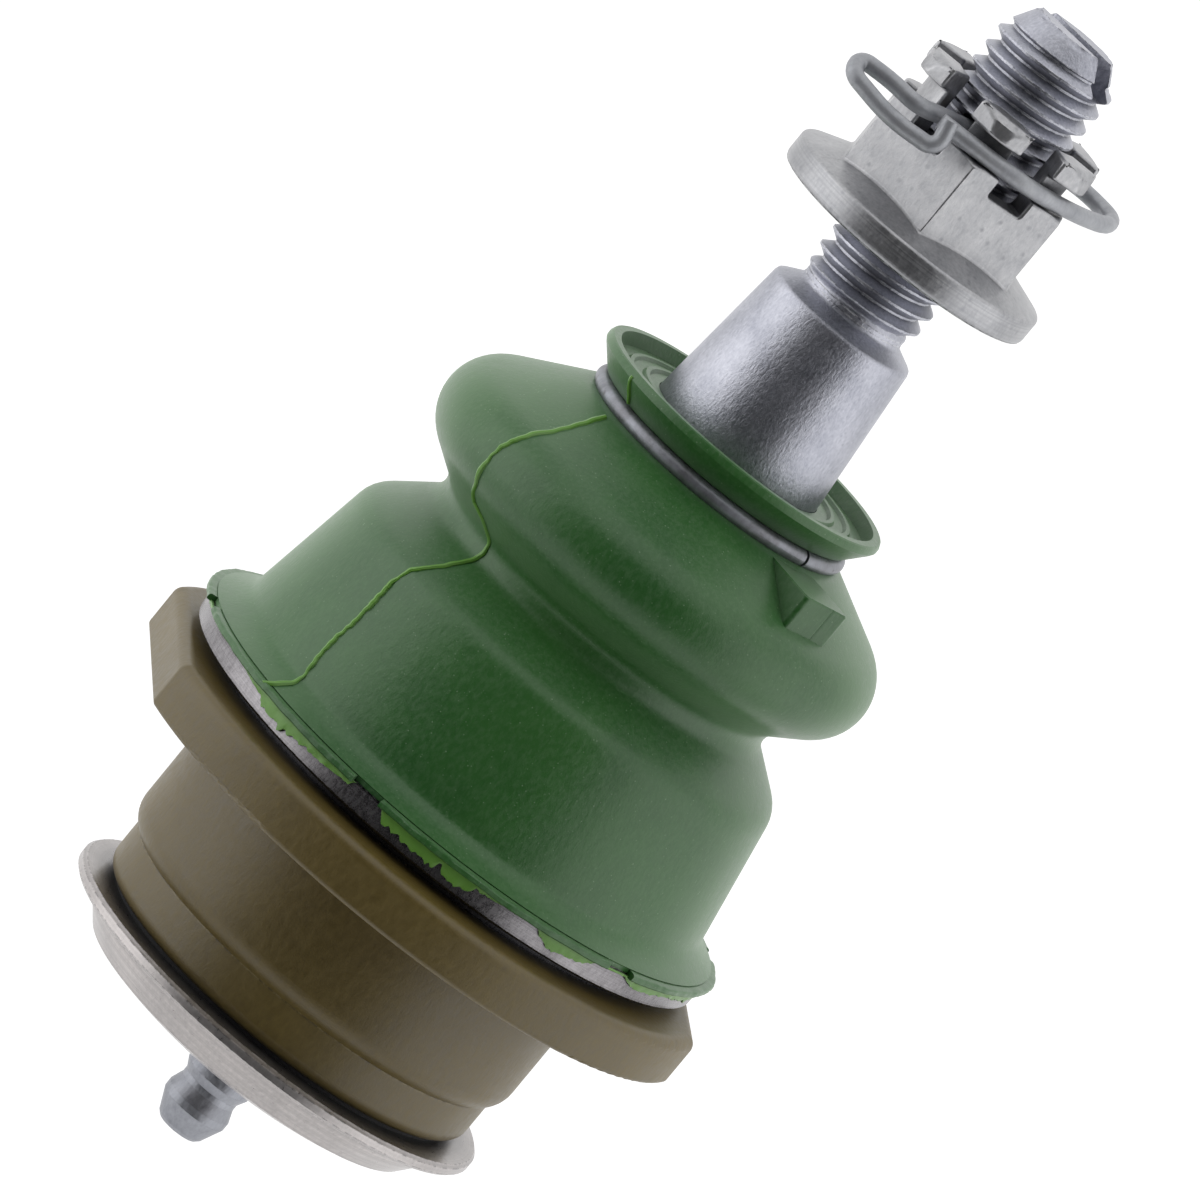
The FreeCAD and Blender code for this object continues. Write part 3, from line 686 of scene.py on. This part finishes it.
def boot_outline(looks):
    """The boot's outer form from the top of its rim to the neck under its collar."""
    corners = [
        (looks.cup_foot_r, CUP_FOOT_Z, 0),
        (looks.cup_top_r, CUP_TOP_Z, CUP_ROUNDING),
        (looks.waist_r, WAIST_Z, WAIST_ROUNDING),
        (looks.bulge_r, BULGE_Z, BULGE_ROUNDING),
        (looks.collar_neck_r, NECK_Z, 0),
    ]
    return rounded_outline(corners, spacing=0.55 * MM)


def split_outline(outline):
    """Both parts of the outline, cut where the two moving halves of the boot meet."""
    for i, (before, after) in enumerate(zip(outline, outline[1:])):
        if before.y < SPLIT_Z <= after.y:
            cut = before.lerp(after, (SPLIT_Z - before.y) / (after.y - before.y))
            return outline[:i + 1] + [cut], [cut] + outline[i + 1:]
    raise ValueError("the boot's outline doesn't reach the split")


def add_rim_edge(bm, looks):
    """The rim's outer edge over the base ring, in sectors between the notches."""
    half = math.degrees(looks.notch_width / looks.rim_r) / 2
    pitch = 360 / looks.notch_count
    inner_r = looks.ring_r - 0.1 * MM
    edge = [(inner_r, 8.62 * MM), (inner_r, 7.95 * MM)]
    edge += [(looks.rim_r - inset * MM, z * MM) for inset, z in RIM_EDGE]
    for i in range(looks.notch_count):
        middle = math.degrees(looks.notch_azimuth) + pitch * i
        spun_sector(bm, edge, middle + half, middle + pitch - half, step=0.6)
    sideways_share = 0.0042
    upwards = 0.07 * MM
    for vert in bm.verts:
        if radius_of(vert.co) > looks.ring_r:
            place = vert.co.normalized()
            ragged = noise.noise(place * 9.0) + 0.7 * noise.noise(place * 31.0)
            spread = 1 + sideways_share * ragged
            vert.co.x *= spread
            vert.co.y *= spread
            vert.co.z += upwards * noise.noise(place * 17.0)


def add_skirt(bm, looks):
    """The thin ragged flash that hangs from the rim over the base ring."""
    rows = 6
    thickness = 0.26 * MM
    thinning = 0.06 * MM
    raggedness = 0.35
    waviness = 0.16
    low = SKIRT_TOP_Z - looks.skirt_drop
    inner_r = looks.ring_r + 0.04 * MM
    outer = [(inner_r + thickness - thinning * i / rows, SKIRT_TOP_Z - looks.skirt_drop * i / rows)
             for i in range(rows + 1)]
    inner = [(inner_r, low + looks.skirt_drop * i / rows) for i in range(rows + 1)]
    spun(bm, outer + inner, steps=720)
    for vert in bm.verts:
        azimuth = azimuth_of(vert.co)
        drop = between(SKIRT, azimuth)
        broad = noise.noise(Vector((azimuth * 0.9, 3.0, 0.0)))
        fine = noise.noise(Vector((azimuth * 2.6, 9.0, 0.0)))
        share = max(drop * (1 + raggedness * (broad + 0.6 * fine)), 0.0) if drop > 0.02 else 0.0
        hung = SKIRT_TOP_Z - vert.co.z
        wave = noise.noise(Vector((azimuth * 0.35, vert.co.z * 600, 5.0))) * hung * waviness
        spread = (radius_of(vert.co) + abs(wave)) / radius_of(vert.co)
        vert.co.x *= spread
        vert.co.y *= spread
        vert.co.z = SKIRT_TOP_Z - hung * share


def add_parting(bm, looks, outline, low, high):
    """The ridge of flash where the mould's halves met, on both sides of the boot."""
    profile = sorted((p.y, p.x) for p in outline)
    spacing = 0.16 * MM
    sway = 0.35
    lift = 0.08 * MM
    heights = [low + spacing * i for i in range(int((high - low) / spacing) + 1)] + [high]
    for turn_by in (0, 180):
        points = []
        sizes = []
        for z in heights:
            spot = Vector((z / MM, turn_by, 1.5))
            azimuth = between(PARTING, z / MM) + turn_by + sway * noise.noise(spot * 1.7)
            points.append(at(between(profile, z) + lift * noise.noise(spot * 1.1), azimuth, z))
            sizes.append(1.0 + 0.5 * noise.noise(spot * 0.6))
        made = tube("parting", points, looks.flash_r, sizes, sides=8)
        bm.from_mesh(made)
        bpy.data.meshes.remove(made)


def add_lug(bm, looks, outline):
    """The moulded lug on the bulge's shoulder, its front face cut by upright ridges."""
    azimuth = math.degrees(looks.lug_azimuth)
    out = at(1, azimuth, 0)
    side = at(1, azimuth + 90, 0)
    half = looks.lug_width / 2
    round_r = 0.55 * MM
    inner = 12.8 * MM
    ridges = 26
    ridge_depth = 0.07 * MM
    top_inset = 0.12 * MM
    top_narrowing = 0.97
    top_rounding = 0.14 * MM
    sunk = 0.7 * MM

    def corner(lean, hand):
        """A point of the front's rounded corner, on the side that hand gives."""
        angle = math.radians(lean)
        reach = looks.lug_reach - round_r * (1 - math.sin(angle))
        return reach, hand * (half - round_r * (1 - math.cos(angle)))

    def spot(reach, across, z):
        """The place of a point of the lug's plan at a height."""
        return out * reach + side * across + Vector((0, 0, z))

    front = [corner(lean, -1) for lean in range(0, 91, 15)]
    for i in range(1, ridges):
        across = -half + round_r + (2 * half - 2 * round_r) * i / ridges
        depth = ridge_depth * (i % 2) * (0.5 + noise.noise(Vector((i * 0.73, 2.0, 0.0))))
        front.append((looks.lug_reach - abs(depth), across))
    front += [corner(lean, 1) for lean in range(90, -1, -15)]
    plan = [(inner, -half)] + front + [(inner, half)]
    shoulder = sorted((p.x, p.y) for p in outline if p.y > BULGE_Z + 1 * MM)
    narrowed = [(r - top_inset * (r > inner), a * top_narrowing) for r, a in plan]
    top = [bm.verts.new(spot(r, a, looks.lug_top)) for r, a in narrowed]
    edge = [bm.verts.new(spot(r, a, looks.lug_top - top_rounding)) for r, a in plan]
    low = [bm.verts.new(spot(r, a, between(shoulder, math.hypot(r, a)) - sunk)) for r, a in plan]
    for upper, lower in ((top, edge), (edge, low)):
        for i in range(len(plan)):
            j = (i + 1) % len(plan)
            bm.faces.new((upper[i], upper[j], lower[j], lower[i]))
    bm.faces.new(top)
    bm.faces.new(low[::-1])


def collar_outline(looks):
    """The flared collar's outside, from the groove of the clamp ring to the recess in its top."""
    edge_r = looks.collar_r
    corners = ((looks.collar_neck_r - 0.7 * MM, 43.75), (12.35 * MM, 43.85), (12.15 * MM, 44.4),
               (12.4 * MM, 45.0), (edge_r - 1.75 * MM, 45.35), (edge_r - 0.2 * MM, 47.15), (edge_r, 47.45),
               (edge_r, 47.75))
    top = [(edge_r - 0.15 * MM, COLLAR_TOP_Z - 0.1 * MM), (edge_r - 0.3 * MM, COLLAR_TOP_Z),
           (looks.collar_recess_r + 0.3 * MM, COLLAR_TOP_Z)]
    return [Vector((r, z * MM)) for r, z in corners] + [Vector(p) for p in top]


def recess_outline(looks):
    """The recess in the collar's top, with two round ribs, and the bore below it."""
    rib_height = 0.35 * MM
    rib_half = 0.4 * MM
    bore_r = 9.1 * MM
    points = [(looks.collar_recess_r, RECESS_Z)]
    for rib_r in (12.05 * MM, 10.3 * MM):
        for share in (1, 0.5, 0, -0.5, -1):
            lift = rib_height * math.sqrt(1 - share ** 2)
            points.append((rib_r + rib_half * share, RECESS_Z + lift))
    points += [(bore_r - 0.3 * MM, RECESS_Z), (bore_r, 44.0 * MM), (bore_r, 41.9 * MM)]
    return [Vector(p) for p in points]


class BALLJOINT_OT_boot(bpy.types.Operator):
    """Makes the dust boot in two halves."""
    bl_idname = "balljoint.boot"
    bl_label = "Dust boot"

    def execute(self, context):
        looks = context.scene.boot_looks
        rubber = rubber_material(looks)
        outline = boot_outline(looks)
        lower, upper = split_outline(outline)

        bm = bmesh.new()
        foot = [Vector((r * MM, z * MM)) for r, z in FOOT]
        inner = moved_inwards(outline, looks.wall)[:len(lower)]
        inner[-1] = lower[-1] + (inner[-1] - outline[len(lower) - 1])
        bore_corner = Vector((20.0 * MM, 9.6 * MM))
        added(bm, lambda part: spun(part, foot + lower + inner[::-1] + [bore_corner]))
        added(bm, lambda part: add_rim_edge(part, looks))
        added(bm, lambda part: add_skirt(part, looks), flash=1.0)
        reach = [Vector((looks.rim_r - 0.05 * MM, RIM_MIDDLE_Z))] + foot[4:] + lower
        added(bm, lambda part: add_parting(part, looks, reach, RIM_MIDDLE_Z, SPLIT_Z), flash=1.0)
        bmesh.ops.recalc_face_normals(bm, faces=bm.faces)
        piece = new_piece("boot_cup", bm, rubber)
        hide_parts("dust_boot")
        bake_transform(piece)

        bm = bmesh.new()
        collar = collar_outline(looks)
        lining = moved_inwards(outline, looks.wall)[len(lower) - 1:]
        lining[0] = upper[0] + (inner[-1] - lower[-1])
        path = upper + collar + recess_outline(looks) + lining[::-1]
        added(bm, lambda part: spun(part, path))
        added(bm, lambda part: add_lug(part, looks, outline))
        added(bm, lambda part: add_parting(part, looks, upper, SPLIT_Z, NECK_Z - 0.1 * MM), flash=1.0)
        added(bm, lambda part: add_parting(part, looks, collar[4:8], 45.45 * MM, 47.7 * MM), flash=1.0)
        bmesh.ops.recalc_face_normals(bm, faces=bm.faces)
        piece = new_piece("boot_bulge", bm, rubber)
        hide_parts("dust_boot")
        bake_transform(piece)
        return {"FINISHED"}


# Heights on the stud: the thread's run-in, its last turn, its blunt nose and its two ends.
RUN_IN_LOW_Z = 63.2 * MM
RUN_IN_TOP_Z = 64.4 * MM
LAST_TURN_Z = 91.3 * MM
NOSE_Z = 91.5 * MM
NOSE_CONE_Z = 92.0 * MM
CHIPPED_Z = 93.3 * MM
THREAD_LOW_Z = 62.9 * MM
THREAD_TOP_Z = 93.65 * MM

# The relief under the thread, which is also the nose's wide end.
RELIEF_R = 5.3 * MM

# The ball, how far below its middle it is cut flat, the neck above it and the fillet between them.
BALL_R = 13.5 * MM
BALL_FLAT = 11.2 * MM
NECK_R = 6.8 * MM
NECK_FILLET = 1.2 * MM

# The stud above its ball as (radius, height) in mm: neck, taper, shoulder and relief.
STUD_OUTLINE = ((6.95, 8.2), (6.8, 8.9), (6.8, 14.0), (9.0, 34.0), (9.0, 44.0), (7.42, 61.1), (7.3, 61.45),
                (7.1, 61.6), (5.6, 62.4), (5.38, 62.6), (5.3, 62.9), (5.3, 63.3), (0, 63.3))


def thread_radius(looks, z, share):
    """Radius of the threaded stretch at a height, where share is the place in one pitch."""
    root_share = 0.12
    flank_share = 0.74
    nose_slope = 0.6
    groove = abs(share - 0.5) * 2
    height = min(max((groove - root_share) / flank_share, 0), 1)
    threaded = looks.root_r + (looks.crest_r - looks.root_r) * height
    if z < RUN_IN_TOP_Z:
        run_in = min(max((z - RUN_IN_LOW_Z) / (RUN_IN_TOP_Z - RUN_IN_LOW_Z), 0), 1)
        return RELIEF_R + (threaded - RELIEF_R) * run_in
    if z > LAST_TURN_Z:
        nose = RELIEF_R - (z - NOSE_Z) * nose_slope
        return min(threaded, nose) if z < NOSE_CONE_Z else nose
    return threaded


def add_thread(bm, looks):
    """The closed threaded stretch: one turn is swept, copied upwards and cut off at both ends."""
    steps = 16
    turn_steps = 96
    chips = 0.4 * MM
    chip_scale = 700
    start_z = THREAD_LOW_Z - 2 * looks.pitch + looks.thread_phase
    verts = [bm.verts.new(at(looks.crest_r, 0, start_z + looks.pitch * i / steps)) for i in range(steps + 1)]
    edges = [bm.edges.new(pair) for pair in zip(verts, verts[1:])]
    bmesh.ops.spin(bm, geom=verts + edges, cent=CENTRE, axis=AXIS, angle=2 * math.pi,
                   dvec=(0, 0, looks.pitch / turn_steps), steps=turn_steps, use_merge=False,
                   use_duplicate=False)
    one_turn = bm.verts[:] + bm.edges[:] + bm.faces[:]
    turns = math.ceil((THREAD_TOP_Z - start_z) / looks.pitch) + 1
    for i in range(1, turns):
        copy = bmesh.ops.duplicate(bm, geom=one_turn)["geom"]
        bmesh.ops.translate(bm, verts=[e for e in copy if isinstance(e, bmesh.types.BMVert)],
                            vec=(0, 0, looks.pitch * i))
    bmesh.ops.remove_doubles(bm, verts=bm.verts, dist=WELD)
    for z, normal in ((THREAD_LOW_Z, (0, 0, -1)), (THREAD_TOP_Z, (0, 0, 1))):
        geom = bm.verts[:] + bm.edges[:] + bm.faces[:]
        bmesh.ops.bisect_plane(bm, geom=geom, plane_co=(0, 0, z), plane_no=normal, clear_outer=True)
    for vert in bm.verts:
        share = ((vert.co.z - start_z) / looks.pitch - azimuth_of(vert.co) / 360) % 1
        radius = thread_radius(looks, vert.co.z, share)
        if vert.co.z > CHIPPED_Z:
            radius -= chips * abs(noise.noise(vert.co * chip_scale))
        vert.co = at(radius, azimuth_of(vert.co), vert.co.z)
    bmesh.ops.holes_fill(bm, edges=[e for e in bm.edges if e.is_boundary])
    bmesh.ops.recalc_face_normals(bm, faces=bm.faces)


def add_cutters(bm, looks):
    """The blade that cuts the slot in the stud's end and the drill of its cross hole."""
    slot_z = 93.0 * MM
    slot_height = 5 * MM
    hole_r = 1.2 * MM
    reach = 20 * MM
    bmesh.ops.create_cube(bm, size=1, matrix=Matrix.Translation((0, 0, slot_z))
                          @ Matrix.Rotation(looks.slot_azimuth, 4, "Z")
                          @ Matrix.Diagonal((looks.slot_width, reach, slot_height, 1)))
    bmesh.ops.create_cone(bm, cap_ends=True, segments=32, radius1=hole_r, radius2=hole_r, depth=reach,
                          matrix=Matrix.Translation((0, 0, HOLE_Z))
                          @ Matrix.Rotation(math.radians(HOLE_AZIMUTH), 4, "Z")
                          @ Matrix.Rotation(math.radians(90), 4, "X"))


def add_ball_and_taper(bm):
    """The ball, the neck, the taper and the shoulder, spun as one closed form."""
    flat_lean = math.acos(BALL_FLAT / BALL_R)
    neck_lean = math.asin((NECK_R + NECK_FILLET) / (BALL_R + NECK_FILLET))
    arc_steps = 28
    outline = [(0, BALL_Z - BALL_FLAT)]
    for i in range(arc_steps + 1):
        lean = flat_lean + (math.pi - neck_lean - flat_lean) * i / arc_steps
        outline.append((BALL_R * math.sin(lean), BALL_Z - BALL_R * math.cos(lean)))
    outline += [(r * MM, z * MM) for r, z in STUD_OUTLINE]
    verts = [bm.verts.new(at(r, 0, z)) for r, z in outline]
    edges = [bm.edges.new(pair) for pair in zip(verts, verts[1:])]
    bmesh.ops.spin(bm, geom=verts + edges, cent=CENTRE, axis=AXIS, dvec=(0, 0, 0), angle=2 * math.pi,
                   steps=160, use_merge=True, use_duplicate=False)
    bmesh.ops.remove_doubles(bm, verts=bm.verts, dist=WELD / 2)
    bmesh.ops.recalc_face_normals(bm, faces=bm.faces)


class BALLJOINT_OT_stud(bpy.types.Operator):
    """Makes the ball stud with its thread, slot and cross hole."""
    bl_idname = "balljoint.stud"
    bl_label = "Ball stud"

    def execute(self, context):
        looks = context.scene.stud_looks
        zinc = metal_material("Stud zinc", looks.zinc, looks.zinc_dark, metallic=0.9, rough_low=0.3,
                              rough_high=0.42, patch_scale=260.0, grain_scale=4200.0, pit_share=0.35,
                              bump=0.02 * MM, worn=looks.zinc_worn, worn_width=0.16 * MM, grain_mix=0.6,
                              grime_and_shade=0.66, crevice_shade_reach=1.1 * MM)
        bm = bmesh.new()
        add_thread(bm, looks)
        thread = new_piece("stud_thread", bm, zinc, sharp=40)
        bm = bmesh.new()
        add_cutters(bm, looks)
        cutter = new_piece("cutter", bm, zinc)
        cut = thread.modifiers.new("Cuts", "BOOLEAN")
        cut.operation = "DIFFERENCE"
        cut.object = cutter
        cut.solver = "MANIFOLD"
        apply_modifiers(thread)
        bpy.data.objects.remove(cutter)

        bm = bmesh.new()
        bm.from_mesh(thread.data)
        bpy.data.objects.remove(thread)
        add_ball_and_taper(bm)
        piece = new_piece("threaded_stud", bm, zinc, sharp=35)
        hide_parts("ball_stud")
        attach(piece, "stud")
        return {"FINISHED"}


# The clip's path as (right, forward, height) in mm: its hook and left loop, its right loop and its end.
CLIP_HOOK = ((-3.7, 11.2, 82.5), (-3.1, 11.8, 79.9), (-7.9, 12.3, 79.6), (-12.9, 11.4, 80.4),
             (-13.2, 9.5, 81.6), (-9.8, 9.7, 81.8), (-6.9, 10.1, 81.6))
CLIP_RIGHT = ((9.2, -11.0, 82.0), (12.5, -8.7, 82.0), (12.5, -3.6, 81.95), (10.4, 0.8, 81.9))
CLIP_END = ((-4.4, 10.0, 81.85),)


def clip_path():
    """The wire's corners: the hook, the run through the cross hole, the right loop and the wrap in front."""
    wrap_r = 9.3 * MM
    wrap_z = HOLE_Z - 0.05 * MM
    hook, right, end = ([Vector((x, -forward, z)) * MM for x, forward, z in run]
                        for run in (CLIP_HOOK, CLIP_RIGHT, CLIP_END))
    through = [at(8.8 * MM, HOLE_AZIMUTH, HOLE_Z), at(11.3 * MM, HOLE_AZIMUTH + 180, HOLE_Z)]
    wrap = [at(wrap_r, azimuth, wrap_z) for azimuth in (64, 36, 8)]
    return hook + through + right + wrap + end


class BALLJOINT_OT_nut(bpy.types.Operator):
    """Makes the castle nut with its rounded edges and bends the lock clip."""
    bl_idname = "balljoint.nut"
    bl_label = "Castle nut and clip"

    def execute(self, context):
        looks = context.scene.stud_looks
        groove_top_z = 72.1 * MM
        zinc = metal_material("Nut zinc", looks.nut_zinc, looks.nut_dark, metallic=0.85, rough_low=0.3,
                              rough_high=0.42, patch_scale=300.0, grain_scale=2800.0, pit_share=0.35,
                              bump=0.02 * MM, worn=looks.nut_worn, worn_width=0.22 * MM, grain_mix=0.6,
                              grime_and_shade=0.74, crevice_shade_reach=2.2 * MM, pits=0.9, lines=0.6, line_scale=4500.0,
                              lines_top=groove_top_z)
        piece = rounded_copy("castle_nut", "nut", zinc, looks.nut_bevel)
        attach(piece, "stud")
        wire = metal_material("Clip wire", looks.clip, looks.clip_worn, metallic=0.55, rough_low=0.42,
                              rough_high=0.55, patch_scale=400.0, grain_scale=3000.0, pit_share=0.1,
                              bump=0.012 * MM, grain_mix=0.3)
        bm = bmesh.new()
        made = tube("clip", rounded_run(clip_path()), looks.clip_r, sides=24)
        bm.from_mesh(made)
        bpy.data.meshes.remove(made)
        bmesh.ops.recalc_face_normals(bm, faces=bm.faces)
        piece = new_piece("clip", bm, wire, sharp=50)
        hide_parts("lock_clip")
        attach(piece, "stud")
        return {"FINISHED"}


def finish_node(node, material):
    """Gives a CAD node that stays its own finish."""
    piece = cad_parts[node]
    piece.data.materials.clear()
    piece.data.materials.append(material)


class BALLJOINT_OT_housing(bpy.types.Operator):
    """Gives the housing, rings, cover and inner pieces their finishes, and makes the nipple's spring."""
    bl_idname = "balljoint.housing"
    bl_label = "Housing and rings"

    def execute(self, context):
        looks = context.scene.body_looks
        coating = metal_material("Housing coating", looks.coating, looks.coating_dark, metallic=0.0,
                                 rough_low=0.36, rough_high=0.5, patch_scale=90.0, grain_scale=2000.0,
                                 pit_share=0.25, bump=0.014 * MM, worn=looks.coating_worn, pits=0.5,
                                 grime_and_shade=0.6, lines=0.15, line_scale=1500.0, specular=0.7)
        turned = metal_material("Turned steel", looks.turned, looks.turned_dark, metallic=0.95,
                                rough_low=0.22, rough_high=0.34, patch_scale=150.0, grain_scale=3000.0,
                                pit_share=0.3, bump=0.012 * MM, lines=0.7, line_scale=5000.0, grime_and_shade=0.9,
                                crevice_shade_reach=2.2 * MM)
        cover = metal_material("Cover plating", looks.cover, looks.cover_dark, metallic=0.85,
                               rough_low=0.26, rough_high=0.38, patch_scale=120.0, grain_scale=2600.0,
                               pit_share=0.25, bump=0.012 * MM, lines=0.7, line_scale=3500.0,
                               worn=looks.cover, grime_and_shade=0.7, crevice_shade_reach=3.0 * MM)
        nipple = metal_material("Nipple plating", looks.nipple, looks.nipple_dark, metallic=0.8,
                                rough_low=0.34, rough_high=0.5, patch_scale=200.0, grain_scale=2600.0,
                                pit_share=0.3, bump=0.014 * MM, grime_and_shade=0.5, crevice_shade_reach=1.5 * MM)
        ring = metal_material("Ring wire", looks.ring, looks.turned_dark, metallic=0.7, rough_low=0.36,
                              rough_high=0.5, patch_scale=300.0, grain_scale=2600.0, pit_share=0.2,
                              bump=0.012 * MM, grain_mix=0.25, pits=0.8)
        iron = metal_material("Sintered iron", looks.iron, looks.turned_dark, metallic=0.6, rough_low=0.5,
                              rough_high=0.7, patch_scale=200.0, grain_scale=3000.0, pit_share=0.4,
                              bump=0.02 * MM)
        spring = metal_material("Spring steel", looks.spring, looks.turned_dark, metallic=0.9,
                                rough_low=0.3, rough_high=0.4, patch_scale=200.0, grain_scale=3000.0,
                                pit_share=0.1, bump=0.006 * MM, lines=0.4)
        seal = metal_material("Seal rubber", looks.seal, looks.seal, metallic=0.0, rough_low=0.6,
                              rough_high=0.7, patch_scale=100.0, grain_scale=2600.0, pit_share=0.1,
                              bump=0.01 * MM)
        for node, finish, slot in (
                ("housing", coating, "housing_coating"),
                ("boot_base_ring", turned, "turned_steel"),
                ("cover", cover, "zinc_plate"),
                ("nipple_body", nipple, "zinc_plate"),
                ("boot_clamp_ring", ring, "ring_wire"),
                ("upper_bearing", iron, "sintered_iron"),
                ("lower_bearing", iron, "sintered_iron"),
                ("spring_seat_washer", spring, "spring_steel"),
                ("disc_spring_upper", spring, "spring_steel"),
                ("disc_spring_lower", spring, "spring_steel"),
                ("nipple_check_ball", spring, "spring_steel"),
                ("cover_seal", seal, "black_rubber")):
            finish_node(node, finish)

        bm = bmesh.new()
        bm.from_mesh(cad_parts["nipple_spring"].data)
        piece = new_piece("check_spring", bm, spring)
        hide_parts("nipple_spring")
        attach(piece, "housing")
        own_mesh(piece)
        return {"FINISHED"}


# The stage: where the side lights stand, what they aim at, their size, and where the dark card stands.
LIGHT_SIDE = 0.62
LIGHT_FORWARD = 0.1
LIGHT_Z = 0.1
LIGHT_AIM = Vector((0, 0, 0.03))
LIGHT_WIDTH = 0.6
LIGHT_HEIGHT = 0.7
CARD_DISTANCE = 1.35
CARD_COLOUR = (0.04, 0.04, 0.042, 1)
FLOOR_RADIUS = 8.0
FLOOR_COLOUR = (0.8, 0.8, 0.8, 1)
WHITE = (1, 1, 1, 1)


def side_light(name, hand, power):
    """A soft light to the left or right of the ball joint, where hand is -1 or 1."""
    data = bpy.data.lights.new(name, "AREA")
    data.shape = "RECTANGLE"
    data.size = LIGHT_WIDTH
    data.size_y = LIGHT_HEIGHT
    data.energy = power
    light = bpy.data.objects.new(name, data)
    place = Vector((hand * LIGHT_SIDE, -LIGHT_FORWARD, LIGHT_Z))
    light.matrix_world = Matrix.LocRotScale(place, (LIGHT_AIM - place).to_track_quat("-Z", "Y"), None)
    bpy.context.scene.collection.objects.link(light)


def background_seen(nodes):
    """1 for the rays that show the background to the camera, in metal or through glass."""
    path = nodes.add("ShaderNodeLightPath").outputs
    seen = nodes.maths("ADD", path["Is Camera Ray"], path["Is Glossy Ray"])
    return nodes.maths("ADD", seen, path["Is Transmission Ray"], clamp=True)


class BALLJOINT_OT_stage(bpy.types.Operator):
    """Sets the camera, soft lights, white floor, dark card and room."""
    bl_idname = "balljoint.stage"
    bl_label = "Stage"

    def execute(self, context):
        looks = context.scene.stage_looks
        scene = context.scene
        scene.view_settings.view_transform = "Standard"

        place = Vector((0, -looks.distance, looks.height))
        aim = Vector((looks.aim_x, 0, looks.aim_z))
        ahead = (aim - place).normalized()
        right = ahead.cross(Vector(AXIS)).normalized()
        up = right.cross(ahead)
        rolled_up = up * math.cos(looks.roll) - right * math.sin(looks.roll)
        rolled_right = right * math.cos(looks.roll) + up * math.sin(looks.roll)
        data = bpy.data.cameras.new("Camera")
        data.sensor_width = 36
        data.lens = data.sensor_width * (aim - place).length / looks.view_width
        data.clip_start = 0.01
        data.clip_end = 20
        camera = bpy.data.objects.new("Camera", data)
        turned = Matrix((rolled_right, rolled_up, -ahead)).transposed().to_4x4()
        camera.matrix_world = Matrix.Translation(place) @ turned
        scene.collection.objects.link(camera)
        scene.camera = camera

        side_light("Left light", -1, looks.left_power)
        side_light("Right light", 1, looks.right_power)

        floor_z = cad_low.z - looks.floor_drop
        floor_glow = 0.5
        bm = bmesh.new()
        bmesh.ops.create_circle(bm, cap_ends=True, segments=64, radius=FLOOR_RADIUS)
        bmesh.ops.translate(bm, verts=bm.verts, vec=(0, 0, floor_z))
        paper, nodes, shader = new_material("Floor paper", metallic=0.0, roughness=1.0)
        shader.inputs["Base Color"].default_value = FLOOR_COLOUR
        shader.inputs["Emission Color"].default_value = WHITE
        nodes.put(shader, "Emission Strength", nodes.maths("MULTIPLY", background_seen(nodes), floor_glow))
        floor = new_piece("floor", bm, paper)

        bm = bmesh.new()
        bmesh.ops.create_grid(bm, size=0.5)
        bmesh.ops.scale(bm, verts=bm.verts, vec=(looks.card_width, looks.card_height, 1))
        black, _, shader = new_material("Card", metallic=0.0, roughness=0.9)
        shader.inputs["Base Color"].default_value = CARD_COLOUR
        card = new_piece("dark_card", bm, black)
        middle = Vector((0, -CARD_DISTANCE, floor_z + looks.card_height / 2))
        card.matrix_world = Matrix.Translation(middle) @ Matrix.Rotation(math.radians(90), 4, "X")
        card.visible_camera = False

        world = bpy.data.worlds.new("Room")
        scene.world = world
        world.use_nodes = True
        nodes = Nodes(world.node_tree)
        room = world.node_tree.nodes["Background"]
        room.inputs["Color"].default_value = WHITE
        nodes.put(room, "Strength", nodes.spread(background_seen(nodes), 0, 1, looks.world_strength, 1.0))
        return {"FINISHED"}


OPERATORS = (BALLJOINT_OT_stage, BALLJOINT_OT_boot, BALLJOINT_OT_stud, BALLJOINT_OT_nut, BALLJOINT_OT_housing)


class BALLJOINT_PT_panel(bpy.types.Panel):
    """Lists the ball joint's pieces in the sidebar."""
    bl_label = "Ball joint"
    bl_idname = "BALLJOINT_PT_panel"
    bl_space_type = "VIEW_3D"
    bl_region_type = "UI"
    bl_category = "Ball joint"

    def draw(self, context):
        for operator in OPERATORS:
            self.layout.operator(operator.bl_idname)


def register():
    """Adds the property groups, the operators and the panel."""
    for group in LOOKS.values():
        bpy.utils.register_class(group)
    for name, group in LOOKS.items():
        setattr(bpy.types.Scene, name, PointerProperty(type=group))
    for operator in OPERATORS:
        bpy.utils.register_class(operator)
    bpy.utils.register_class(BALLJOINT_PT_panel)


def unregister():
    """Removes what register added."""
    bpy.utils.unregister_class(BALLJOINT_PT_panel)
    for operator in reversed(OPERATORS):
        bpy.utils.unregister_class(operator)
    for name, group in LOOKS.items():
        delattr(bpy.types.Scene, name)
        bpy.utils.unregister_class(group)


def main():
    """Builds the ball joint's looks."""
    register()
    bpy.ops.balljoint.stage()
    bpy.ops.balljoint.boot()
    bpy.ops.balljoint.stud()
    bpy.ops.balljoint.nut()
    bpy.ops.balljoint.housing()
    bpy.context.view_layer.update()


if __name__ == "__main__":
    main()
